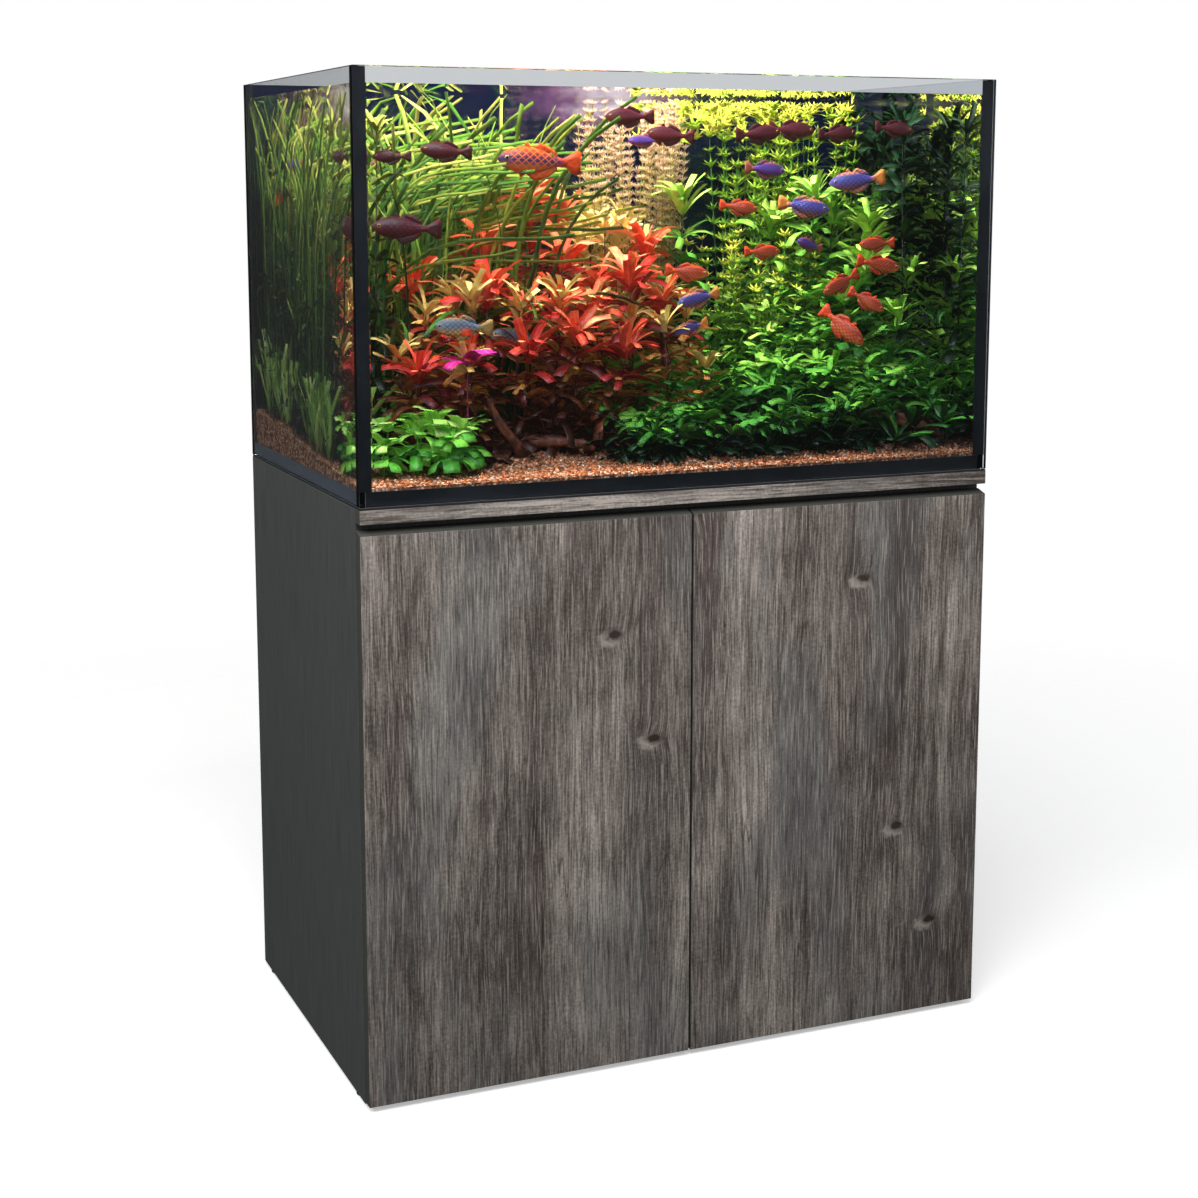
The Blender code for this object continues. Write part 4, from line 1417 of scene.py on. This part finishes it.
# %% Plants: tall green stems
rng = random.Random(43)
TALL_GREEN = [
    (0.27, -0.03, 1.150), (0.31, 0.00, 1.130), (0.35, -0.05, 1.105), (0.39, 0.02, 1.120),
    (0.40, -0.08, 1.040), (0.33, -0.09, 1.060), (0.41, 0.08, 1.150), (0.29, -0.11, 1.020),
    (0.07, -0.02, 1.145), (0.36, -0.14, 0.985), (0.22, 0.02, 1.110), (0.37, 0.05, 1.10),
]
copies = []
for top in TALL_GREEN:
    x, y = inside(top[0] + rng.uniform(-0.02, 0.01), top[1] + rng.uniform(0, 0.04))
    copies += leafy_stem((x, y, bed_at(x, y)), top, rng, dense_whorls, 0.072, (0.15, 0.8), 0.030)
grow("tall_green_stems", copies, lance_green)


# %% [markdown]
# ## Foreground plants
# A broad-leaved bush stands in the front left corner. Its leaves spring from a point in all directions,
# so one helper makes such a rosette, and the bush is eight heads of two rosettes each.

# %% Plants: the broad-leaved bush
def rosette(centre, rng, count, length, patterns, tones, climbs, width=1.0):
    """Leaves from one point, spread all round."""
    copies = []
    for leaf in range(count):
        angle = math.tau * leaf / count + rng.uniform(-0.35, 0.35)
        size = length * rng.uniform(0.7, 1.1)
        way = spread(angle, rng.uniform(*climbs))
        place = aimed(centre, way, size, width * rng.uniform(0.85, 1.15), rng.uniform(-0.3, 0.3))
        copies.append((rng.choice(patterns), place, rng.uniform(*tones)))
    return copies


rng = random.Random(51)
BUSH_HEADS = [
    (-0.330, -0.185, 0.872), (-0.300, -0.195, 0.862), (-0.355, -0.190, 0.858), (-0.285, -0.175, 0.858),
    (-0.320, -0.210, 0.850), (-0.345, -0.165, 0.868), (-0.385, -0.150, 0.862), (-0.400, -0.190, 0.846),
]
copies = []
for x, y, z in BUSH_HEADS:
    ground = bed_at(x, y)
    copies.append((stem_pattern, stem_between((x, y, ground), (x, y, z), 0.002), 0.2))
    copies += rosette((x, y, z), rng, 14, 0.036, [oval_leaf], (0.35, 1.0), (5, 75))
    copies += rosette((x, y, (z + ground) / 2), rng, 10, 0.040, [oval_leaf], (0.0, 0.6), (-5, 40))
grow("broad_leaf_bush", copies, bright_green)

# %% [markdown]
# Pale leaves stand in tufts along the left pane, and three open rosettes of narrow green leaves at the
# front right.

# %% Plants: pale tufts and the right rosettes
PALE_TUFTS = 15
rng = random.Random(53)
copies = []
for number in range(PALE_TUFTS):
    x, y = rng.uniform(-0.42, -0.375), rng.uniform(-0.14, 0.22)
    spot = (x, y, bed_at(x, y))
    copies += rosette(spot, rng, 10, 0.125, [lance_straight, lance_wavy], (0.1, 1.0), (50, 82), 0.62)
grow("pale_upright_leaves", copies, pale_green)

rng = random.Random(57)
copies = []
for x, y, lift in [(0.405, -0.215, 0.035), (0.37, -0.19, 0.02), (0.33, -0.21, 0.012)]:
    spot = (x, y, bed_at(x, y) + lift)
    copies.append((stem_pattern, stem_between((x, y, bed_at(x, y)), spot, 0.002), 0.1))
    copies += rosette(spot, rng, 9, 0.062, [lance_straight], (0.1, 0.7), (15, 70), 1.1)
grow("right_rosettes", copies, lance_green)

# %% [markdown]
# One small rosette of five leaves in strong magenta stands among the reds, on a thin stem.

# %% Plant: the magenta leaves
copies = rosette((-0.285, -0.178, 0.945), rng, 5, 0.058, [oval_leaf], (0.3, 0.9), (15, 60), 0.8)
spot = (-0.285, -0.178)
copies.append((stem_pattern, stem_between((*spot, bed_at(*spot)), (*spot, 0.945), 0.0015), 0.1))
plant(gather("magenta_leaf", copies), magenta)


# %% [markdown]
# ## Whorled stems
# Thin stems carry a small wheel of leaves every two centimetres or less. There are thousands of wheels,
# so a leaf is only a four-sided cone pressed flat. A wheel is gathered from seven broad leaves or eleven
# thin ones, and a stem from its wheels.

# %% Helpers: needles, wheels and their stems
def needle_pattern(name, length, width, flat):
    """A flat, closed needle along Y with its base at the origin."""
    let_go()
    bpy.ops.mesh.primitive_cone_add(vertices=4, radius1=0.5, depth=1, location=(0, 0, 0.5))
    needle = fresh(name)
    settle(needle)
    pick_all()
    bpy.ops.transform.rotate(value=math.radians(90), orient_axis="X", center_override=(0, 0, 0))
    bpy.ops.transform.resize(value=(width, length, flat), center_override=(0, 0, 0))
    done()
    return needle


def wheel_pattern(name, needle, count, climb):
    """A wheel of needles round the Z axis."""
    ways = [spread(math.tau * number / count, climb) for number in range(count)]
    return gather(name, [(needle, aimed((0, 0, 0), way), 0.0) for way in ways])


def wheel_stem(foot, top, wheel, gap, size, tones, rng):
    """Copies for one stem with a wheel at every gap, its tone rising towards the top."""
    foot, top = Vector(foot), Vector(top)
    count = max(2, int((top - foot).length / gap))
    copies = [(stem_pattern, stem_between(foot, top, 0.0011), tones[0])]
    for number in range(count):
        share = (number + 1) / count
        turn = Matrix.Rotation(rng.uniform(0, math.tau), 4, "Z")
        tilt = Matrix.Rotation(rng.uniform(-0.5, 0.5), 4, rng.choice("XY"))
        scale = size * rng.uniform(0.8, 1.15)
        # painted light: the tone rises towards the top of the stem
        tone = tones[0] + (tones[1] - tones[0]) * share * rng.uniform(0.6, 1.1)
        spot = Matrix.Translation(foot.lerp(top, share))
        copies.append((wheel, spot @ tilt @ turn @ Matrix.Scale(scale, 4), tone))
    return copies


broad_needle = needle_pattern("broad_needle", 0.018, 0.0078, 0.0008)
thin_needle = needle_pattern("thin_needle", 0.012, 0.0028, 0.0006)
wheel = wheel_pattern("wheel", broad_needle, 7, 30)
fine_wheel = wheel_pattern("fine_wheel", thin_needle, 11, 38)
print("wheels", len(wheel.data.polygons), "and", len(fine_wheel.data.polygons), "faces")

# %% [markdown]
# At the right rear the broad wheels climb to the surface, with shorter stems in front of them. Loose tops
# float under the surface, where they catch the most light.

# %% Plants: whorled stems
UNDER_THE_TOP = 0.012
SURFACE = WATER_LEVEL - UNDER_THE_TOP
FLOATING_TOPS = 170
rng = random.Random(61)
copies = []
for number in range(44):
    x, y = rng.uniform(0.18, 0.345), rng.uniform(0.02, 0.20)
    foot = (x, y, bed_at(x, y))
    x, y = inside(x + rng.uniform(-0.03, 0.03), y + rng.uniform(-0.02, 0.02))
    top = (x, y, SURFACE - rng.random() ** 2 * 0.12)
    copies += wheel_stem(foot, top, wheel, 0.020, 0.95, (0.05, 0.70), rng)
for number in range(26):
    x, y = rng.uniform(0.08, 0.30), rng.uniform(-0.06, 0.05)
    foot = (x, y, bed_at(x, y))
    top = (x + rng.uniform(-0.02, 0.03), y, rng.uniform(1.02, 1.115))
    copies += wheel_stem(foot, top, wheel, 0.016, 0.85, (0.10, 1.1), rng)
for number in range(FLOATING_TOPS):
    x, y = rng.uniform(0.06, 0.34), rng.uniform(0.00, 0.22)
    spot = Matrix.Translation((x, y, SURFACE - rng.random() ** 2 * 0.05))
    turn = Euler((rng.uniform(-1.0, 1.0), rng.uniform(-1.0, 1.0), rng.uniform(0, math.tau)))
    place = spot @ turn.to_matrix().to_4x4() @ Matrix.Scale(rng.uniform(0.7, 1.2), 4)
    copies.append((wheel, place, rng.uniform(0.5, 1.0)))
grow("whorled_stems", copies, yellow_whorl)

# %% [markdown]
# In the middle of the tank stand feathery stems, cream and pink towards the light.

# %% Plants: fine stems
rng = random.Random(63)
copies = []
for number in range(44):
    x, y = rng.uniform(-0.06, 0.09), rng.uniform(-0.01, 0.12)
    foot = (x, y, bed_at(x, y))
    top = (*inside(x + rng.uniform(-0.02, 0.04), y), SURFACE - rng.random() ** 2 * 0.10)
    copies += wheel_stem(foot, top, fine_wheel, 0.011, 1.0, (0.0, 0.9), rng)
grow("fine_stems", copies, cream_fine)

# %% [markdown]
# Along the right pane a row of dark leafy stems stands in the shade, and their dark colours are painted
# shade. Along the left pane stands a row of olive ones. They close the view through the sides.

# %% Plants: dark and olive stems along the panes
SHADE_STEMS, SHADE_STEP = 13, 0.024
rng = random.Random(67)
copies = []
for number in range(SHADE_STEMS):
    x, y = rng.uniform(0.395, 0.42), -0.08 + SHADE_STEP * number
    top = (x - 0.01, y, rng.uniform(1.15, 1.27))
    # painted shade: dark colours and low tones for the stems in the shade
    copies += leafy_stem((x, y, bed_at(x, y)), top, rng, lance_whorls, 0.062, (0.1, 0.45), 0.032)
grow("shade_stems", copies, dark_green)

OLIVE_STEMS, OLIVE_STEP = 22, 0.015
rng = random.Random(71)
copies = []
for number in range(OLIVE_STEMS):
    x, y = rng.uniform(-0.408, -0.355), -0.10 + OLIVE_STEP * number
    top = (*inside(x + rng.uniform(-0.02, 0.02), y + rng.uniform(-0.02, 0.02)), rng.uniform(0.98, 1.24))
    copies += leafy_stem((x, y, bed_at(x, y)), top, rng, lance_whorls, 0.044, (0.0, 0.75), 0.024)
grow("olive_stems", copies, olive_green)

# %% [markdown]
# Low whorled stems along the back hide the foot of the film. They get little light, and their low tones
# are painted shade, so they stay dark.

# %% Plants: low stems at the rear
REAR_STEMS = 70
rng = random.Random(65)
copies = []
for number in range(REAR_STEMS):
    x, y = rng.uniform(-0.40, 0.42), rng.uniform(0.10, 0.24)
    foot = (x, y, bed_at(x, y))
    tall = rng.uniform(0.10, 0.26)
    top = (x + rng.uniform(-0.02, 0.02), y, foot[2] + tall)
    # painted shade: low tones keep these stems dark
    copies += wheel_stem(foot, top, wheel, 0.020, 1.2, (0.0, 0.2), rng)
grow("rear_stems", copies, lance_green)


# %% [markdown]
# ## The root wood
# Three pieces of root lie on the gravel. A curve with a bevel would make an even pipe, but a root tapers
# and is knobbly. So each is a ring of points extruded again and again along a path, drawn in a little
# each time, smoothed, and roughened by a Displace modifier.

# %% Helpers: root wood
def rough_skin(piece, size, strength):
    """Lumps on a surface from Blender's own cloud texture."""
    clouds = bpy.data.textures.new(piece.name + "_lumps", "CLOUDS")
    clouds.noise_scale = size
    skin = piece.modifiers.new("lumps", "DISPLACE")
    skin.texture = clouds
    skin.texture_coords = "GLOBAL"
    skin.strength = strength
    skin.mid_level = 0.5
    return settle(piece)


def root_branch(name, path, radius, taper=0.8):
    """A branch along a path of points, thinner at each."""
    let_go()
    first = Vector(path[0])
    facing = (Vector(path[1]) - first).to_track_quat("Z", "Y").to_euler()
    bpy.ops.mesh.primitive_circle_add(
        vertices=10, radius=radius, location=first, rotation=facing, fill_type="NGON"
    )
    branch = fresh(name)
    settle(branch)
    pick_all()
    for before, after in zip(path, path[1:]):
        step = Vector(after) - Vector(before)
        bpy.ops.mesh.extrude_region_move(TRANSFORM_OT_translate={"value": step})
        bpy.ops.transform.resize(value=(taper,) * 3, center_override=after)
    done()
    outward(branch)
    smooth = branch.modifiers.new("smooth", "SUBSURF")
    smooth.levels = smooth.render_levels = 2
    return rough_skin(branch, 0.010, 0.006)


print("root helpers are ready")


# %% [markdown]
# The bark is dark brown with paler patches. Two branches lie among the reds, and a thicker one at the
# right, half hidden by the hill.

# %% Pieces: root wood
wood, tree, shader = new_finish("root_wood")
place = add(tree, "TexCoord").outputs["Object"]
marks = use_group(tree, smudge_group, {"Vector": place, "Size": 24.0})
bark = ramp(
    tree,
    noise(tree, place, 90.0, 4.0),
    [(0.3, paint(44, 20, 12)), (0.72, paint(150, 84, 48)), (0.5, paint(92, 44, 26))],
)
tree.links.new(bark, shader.inputs["Base Color"])
tree.links.new(remap(tree, marks["Mask"], 0.0, 1.0, 0.55, 0.75), shader.inputs["Roughness"])
bumped(tree, shader, noise(tree, place, 140.0, 3.0), 0.002, 0.7)

branches = [
    root_branch("root_left", [(-0.20, -0.150, 0.815), (-0.215, -0.165, 0.840), (-0.240, -0.172, 0.862),
                              (-0.250, -0.176, 0.885), (-0.262, -0.174, 0.905)], 0.010),
    root_branch("root_middle", [(-0.23, -0.13, 0.830), (-0.18, -0.150, 0.842), (-0.14, -0.165, 0.838),
                                (-0.105, -0.175, 0.828)], 0.012),
    root_branch("root_right", [(0.28, -0.14, 0.840), (0.33, -0.165, 0.852), (0.375, -0.18, 0.845),
                               (0.41, -0.20, 0.825)], 0.020, 0.85),
]
for branch in branches:
    branch.data.materials.append(wood)
    branch.data.shade_smooth()
    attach(branch, "root")
    print(branch.name, len(branch.data.polygons), "faces")


# %% [markdown]
# ## The fish
# One body serves all the fish. It starts as a sphere whose poles point along X, nose first. Each ring of
# points is then stretched to the fish's height and thickness at that place.

# %% Helper: the fish's body
RINGS = 14
THICKNESS = 0.42  # as a share of the height
HEIGHTS = [
    (0.0, 0.02), (0.06, 0.15), (0.14, 0.25), (0.26, 0.34), (0.42, 0.38), (0.58, 0.33), (0.74, 0.21),
    (0.88, 0.115), (1.0, 0.09),
]  # (share of the length, height of the body)


def height_at(share):
    """The body's height at a share of its length, read between the given stations."""
    for (low, low_height), (high, high_height) in zip(HEIGHTS, HEIGHTS[1:]):
        if share <= high:
            part = (share - low) / (high - low)
            return low_height + (high_height - low_height) * part
    return HEIGHTS[-1][1]


def fish_body():
    """The body, one unit long, with its nose at X = 0."""
    let_go()
    turn = (0, math.radians(90), 0)
    bpy.ops.mesh.primitive_uv_sphere_add(
        segments=16, ring_count=RINGS, radius=0.5, location=(0.5, 0, 0), rotation=turn
    )
    body = fresh("fish_body")
    settle(body)
    for ring in range(1, RINGS):
        share = 0.5 - 0.5 * math.cos(math.pi * ring / RINGS)
        radius = math.sqrt(share * (1 - share))
        tall = height_at(share) / 2 / radius
        pick(body, "VERT", lambda co: abs(co.x - share) < 0.002)
        bpy.ops.transform.resize(value=(1, tall * THICKNESS, tall), center_override=(share, 0, 0))
        done()
    return body


print("a fish is", max(height for _, height in HEIGHTS), "of its length high")


# %% [markdown]
# Fins are thin grids whose columns are moved and stretched to the fin's outline, and the eye is a small
# flat sphere on each side.

# %% Helpers: fins and eyes
EYE_SEGMENTS, EYE_RINGS = 12, 6
EYE_ALONG, EYE_OUT, EYE_UP = 0.125, 0.048, 0.022


def fin(name, start, end, edges, thick=0.006):
    """A fin in the XZ plane: edges gives its lower and upper edge at each column."""
    let_go()
    columns = len(edges) - 1
    middle = ((start + end) / 2, 0, 0)
    bpy.ops.mesh.primitive_grid_add(
        x_subdivisions=columns, y_subdivisions=3, size=1, location=middle, rotation=(math.radians(90), 0, 0)
    )
    sheet = fresh(name)
    settle(sheet)
    pick_all()
    bpy.ops.transform.resize(value=(end - start, 1, 1), center_override=middle)
    done()
    step = (end - start) / columns
    for column, (low, high) in enumerate(edges):
        at = start + column * step
        pick(sheet, "VERT", lambda co: abs(co.x - at) < step / 3)
        bpy.ops.transform.resize(value=(1, 1, high - low), center_override=(at, 0, 0))
        bpy.ops.transform.translate(value=(0, 0, (high + low) / 2))
        done()
    skin = sheet.modifiers.new("skin", "SOLIDIFY")
    skin.thickness = thick
    skin.offset = 0
    return settle(sheet)


def eye(side):
    """A flat little ball on one side of the head."""
    let_go()
    place = (EYE_ALONG, side * EYE_OUT, EYE_UP)
    bpy.ops.mesh.primitive_uv_sphere_add(
        segments=EYE_SEGMENTS, ring_count=EYE_RINGS, radius=0.030, location=place
    )
    ball = fresh("eye")
    settle(ball)
    pick_all()
    bpy.ops.transform.resize(value=(1, 0.4, 1), center_override=place)
    done()
    return ball


print("an eye has", EYE_SEGMENTS * EYE_RINGS, "faces")


# %% [markdown]
# The body, five fins and two eyes are joined into one pattern. Its UV map is a side view, so that colours
# and scales can be laid on a flank whichever way a fish turns.

# %% Pattern: the whole fish
TAIL = [(-0.045, 0.045), (-0.08, 0.08), (-0.13, 0.13), (-0.17, 0.17), (-0.15, 0.15)]
FIRST_DORSAL = [(0.16, 0.17), (0.15, 0.25), (0.15, 0.23), (0.15, 0.17)]
SECOND_DORSAL = [(0.14, 0.17), (0.13, 0.24), (0.10, 0.22), (0.07, 0.18), (0.04, 0.11)]
ANAL_FIN = [(-0.18, -0.17), (-0.27, -0.15), (-0.25, -0.12), (-0.20, -0.08), (-0.11, -0.04)]
PELVIC_FIN = [(-0.17, -0.15), (-0.23, -0.15), (-0.21, -0.16), (-0.18, -0.165)]
parts = [
    fish_body(),
    fin("tail", 0.93, 1.20, TAIL),
    fin("first_dorsal", 0.36, 0.48, FIRST_DORSAL),
    fin("second_dorsal", 0.50, 0.86, SECOND_DORSAL),
    fin("anal_fin", 0.42, 0.86, ANAL_FIN),
    fin("pelvic_fin", 0.30, 0.42, PELVIC_FIN),
    eye(-1),
    eye(1),
]
EYE_FACES = 2 * EYE_SEGMENTS * EYE_RINGS
fish_pattern = join_up("fish_pattern", parts)
along_up = fish_pattern.data.uv_layers.active or fish_pattern.data.uv_layers.new(name="UVMap")
for corner in fish_pattern.data.loops:
    spot = fish_pattern.data.vertices[corner.vertex_index].co
    along_up.data[corner.index].uv = (spot.x, spot.z + 0.5)
print("fish", len(fish_pattern.data.polygons), "faces, box", [round(v, 2) for v in fish_pattern.dimensions])

# %% [markdown]
# Scales are a lattice of two crossing sets of lines on the body's flank. The group gives the lattice and
# its height, and each kind of fish mixes its own back, flank, belly and fin colours with it.

# %% Group: fish scales
scale_group, get, put = new_group(
    "fish_scales", [("UV", "Vector")], [("Edge", "Float"), ("Height", "Float")]
)
tree = scale_group
along, up, _ = add(tree, "SeparateXYZ", {0: get["UV"]}).outputs
along = times(tree, along, 9.0)
up = times(tree, up, 11.0)
first = sums(tree, "FRACT", plus(tree, along, up))
second = sums(tree, "FRACT", minus(tree, along, up))
first = sums(tree, "ABSOLUTE", minus(tree, first, 0.5))
second = sums(tree, "ABSOLUTE", minus(tree, second, 0.5))
lattice = sums(tree, "MAXIMUM", first, second)
tree.links.new(remap(tree, lattice, 0.37, 0.44), put["Edge"])
tree.links.new(minus(tree, 1.0, lattice), put["Height"])
print("group", scale_group.name, "nodes", len(scale_group.nodes))


# %% [markdown]
# A fish is darker on its back than on its belly, so its colours follow the height on its flank. What
# reaches above or below the body is fin, and so is what lies behind the tail root. The scales start
# behind the gills.

# %% Finish: fish
def fish_finish(name, back, flank, belly, fins, edge):
    """Colours from the belly to the back, fins beyond the body's outline, and scale edges."""
    finish, tree, shader = new_finish(name)
    uv = add(tree, "TexCoord").outputs["UV"]
    along, up, _ = add(tree, "SeparateXYZ", {0: uv}).outputs
    skin = ramp(
        tree,
        up,
        [(0.0, paint(*fins)), (1.0, paint(*fins)), (0.33, paint(*fins)), (0.40, paint(*belly)),
         (0.50, paint(*flank)), (0.60, paint(*back)), (0.67, paint(*fins))],
    )
    scales = use_group(tree, scale_group, {"UV": uv})
    on_body = times(tree, remap(tree, along, 0.14, 0.24), remap(tree, along, 0.80, 0.94, 1.0, 0.0))
    skin = blended(tree, times(tree, scales["Edge"], on_body), skin, paint(*edge))
    skin = blended(tree, remap(tree, along, 0.86, 1.0), skin, paint(*fins))
    tree.links.new(skin, shader.inputs["Base Color"])
    tree.links.new(remap(tree, scales["Edge"], 0.0, 1.0, 0.28, 0.45), shader.inputs["Roughness"])
    bumped(tree, shader, scales["Height"], 0.001, 0.5)
    # painted light: the skin gives off a little light of its own colour
    tree.links.new(skin, shader.inputs["Emission Color"])
    shader.inputs["Emission Strength"].default_value = 0.06
    return finish


print("fish finish uses group", scale_group.name)


# %% [markdown]
# There are six kinds. All share the scales, and each has its own back, flank, belly and fins. The eye has
# a black pupil in a brassy ring, drawn by the distance from its middle.

# %% Finishes: the kinds of fish
FISH_COLOURS = {
    # kind: (back, flank, belly, fins, edges of the scales)
    "checkered": ((140, 52, 32), (58, 46, 88), (196, 104, 56), (214, 72, 28), (226, 104, 48)),
    "dark_red": ((56, 20, 28), (88, 34, 38), (84, 30, 26), (60, 18, 22), (48, 16, 26)),
    "violet": ((74, 52, 112), (104, 66, 156), (110, 60, 90), (140, 74, 56), (50, 38, 92)),
    "blue": ((50, 50, 108), (84, 76, 152), (120, 84, 104), (190, 110, 48), (46, 44, 100)),
    "orange": ((124, 42, 24), (180, 70, 38), (196, 104, 64), (184, 60, 26), (112, 34, 22)),
    "grey": ((70, 82, 98), (108, 122, 134), (160, 140, 84), (142, 112, 58), (46, 54, 80)),
}
FISH = {kind: fish_finish("fish_" + kind, *colours) for kind, colours in FISH_COLOURS.items()}
eye_finish, tree, shader = new_finish("fish_eye")
uv = add(tree, "TexCoord").outputs["UV"]
from_pupil = vector_sums(tree, "DISTANCE", uv, (EYE_ALONG, EYE_UP + 0.5, 0.0))
iris = ramp(
    tree,
    from_pupil,
    [(0.0, paint(4, 4, 5)), (0.03, paint(226, 196, 120)), (0.017, paint(8, 8, 10))],
)
tree.links.new(iris, shader.inputs["Base Color"])
shader.inputs["Roughness"].default_value = 0.12
print("kinds of fish", len(FISH))

# %% [markdown]
# Each fish is a copy with its own size, heading and dip. The heading is the way its nose points: 180
# degrees is towards the left of the tank.

# %% Pieces: the shoal
SHOAL = [
    # kind, place, length, heading, rise of the nose in degrees
    ("checkered", (-0.200, -0.195, 1.200), 0.112, 178, 3),
    ("dark_red", (-0.310, -0.155, 1.212), 0.068, 175, 4),
    ("dark_red", (-0.050, -0.125, 1.258), 0.070, 178, 0),
    ("dark_red", (0.025, -0.075, 1.236), 0.070, 176, 4),
    ("dark_red", (0.150, -0.125, 1.238), 0.072, 8, 4),
    ("dark_red", (0.220, -0.075, 1.244), 0.074, 6, -2),
    ("dark_red", (0.290, -0.075, 1.240), 0.066, 12, 4),
    ("dark_red", (0.360, -0.125, 1.246), 0.064, 5, -4),
    ("violet", (-0.010, -0.075, 1.228), 0.050, 182, 0),
    ("violet", (0.160, -0.125, 1.190), 0.066, 10, -4),
    ("violet", (0.210, -0.155, 1.090), 0.050, 200, 14),
    ("blue", (0.270, -0.175, 1.175), 0.082, 168, -6),
    ("blue", (0.210, -0.155, 1.140), 0.076, -8, -8),
    ("blue", (0.035, -0.175, 1.020), 0.064, 185, -12),
    ("blue", (0.030, -0.155, 0.980), 0.056, 185, -14),
    ("orange", (0.110, -0.155, 1.140), 0.056, -6, -6),
    ("orange", (0.035, -0.155, 1.055), 0.062, -6, -6),
    ("orange", (0.250, -0.175, 1.035), 0.064, 190, -24),
    ("orange", (0.256, -0.195, 0.975), 0.078, -30, -38),
    ("orange", (0.305, -0.175, 1.090), 0.056, 178, -2),
    ("orange", (0.327, -0.155, 1.060), 0.068, -4, -10),
    ("orange", (0.300, -0.175, 1.010), 0.060, -14, -28),
    ("orange", (0.157, -0.125, 1.080), 0.056, 4, 0),
    ("grey", (-0.296, -0.175, 0.992), 0.078, 172, 2),
    ("grey", (-0.218, -0.155, 0.976), 0.074, 174, 8),
    ("dark_red", (-0.370, -0.175, 1.117), 0.090, 176, 3),
    ("orange", (-0.372, 0.150, 1.148), 0.080, 10, 0),
    ("violet", (-0.375, 0.080, 1.196), 0.060, 160, 0),
    ("dark_red", (-0.375, -0.136, 1.205), 0.050, 160, 0),
    ("violet", (-0.380, 0.215, 1.035), 0.056, 165, 0),
]
for number, (kind, place, length, heading, rise) in enumerate(SHOAL):
    mesh = fish_pattern.data.copy()
    mesh.transform(Matrix.Translation((-0.5, 0, 0)))
    turn = Matrix.Rotation(math.radians(heading + 180), 4, "Z")
    dip = Matrix.Rotation(math.radians(rise), 4, "Y")
    mesh.transform(Matrix.Translation(place) @ turn @ dip @ Matrix.Scale(length / 1.2, 4))
    mesh.materials.clear()
    mesh.materials.append(FISH[kind])
    mesh.materials.append(eye_finish)
    for face in mesh.polygons[-EYE_FACES:]:
        face.material_index = 1
    mesh.shade_smooth()
    fish = bpy.data.objects.new(f"fish_{kind}_{number + 1}", mesh)
    scene.collection.objects.link(fish)
    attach(fish, "root")
put_away(fish_pattern)
print("fish", len(SHOAL))

# %% [markdown]
# ## The floor
# The floor is a pale sheet. Far from the cabinet it fades into the white surround, so that no horizon
# shows. It isn't part of the object.

# %% Set: the floor
let_go()
bpy.ops.mesh.primitive_grid_add(x_subdivisions=8, y_subdivisions=8, size=16)
floor = fresh("floor")
paper, tree, shader = new_finish("floor_paper")
place = add(tree, "TexCoord").outputs["Object"]
shade = blended(tree, noise(tree, place, 40.0, 4.0), (0.90, 0.90, 0.90, 1.0), (0.93, 0.93, 0.93, 1.0))
tree.links.new(shade, shader.inputs["Base Color"])
shader.inputs["Roughness"].default_value = 0.8
shader.inputs["Specular IOR Level"].default_value = 0.1
distance = vector_sums(tree, "LENGTH", place)
tree.links.new(remap(tree, distance, 0.7, 2.6, 1.0, 0.0), shader.inputs["Alpha"])
shader.inputs["Emission Color"].default_value = (1, 1, 1, 1)
shader.inputs["Emission Strength"].default_value = 0.40
floor.data.materials.append(paper)
floor.visible_glossy = False
floor.visible_transmission = False
floor.visible_diffuse = False
print("floor", [round(side) for side in floor.dimensions[:2]], "m")

# %% [markdown]
# ## Last: originals away
# The leaf patterns have done their work.

# %% Put away the patterns
put_away(*LEAVES, *RIBBONS)
put_away(*lance_whorls, *dense_whorls, *spiky_whorls)
put_away(stem_pattern, broad_needle, thin_needle, wheel, fine_wheel)
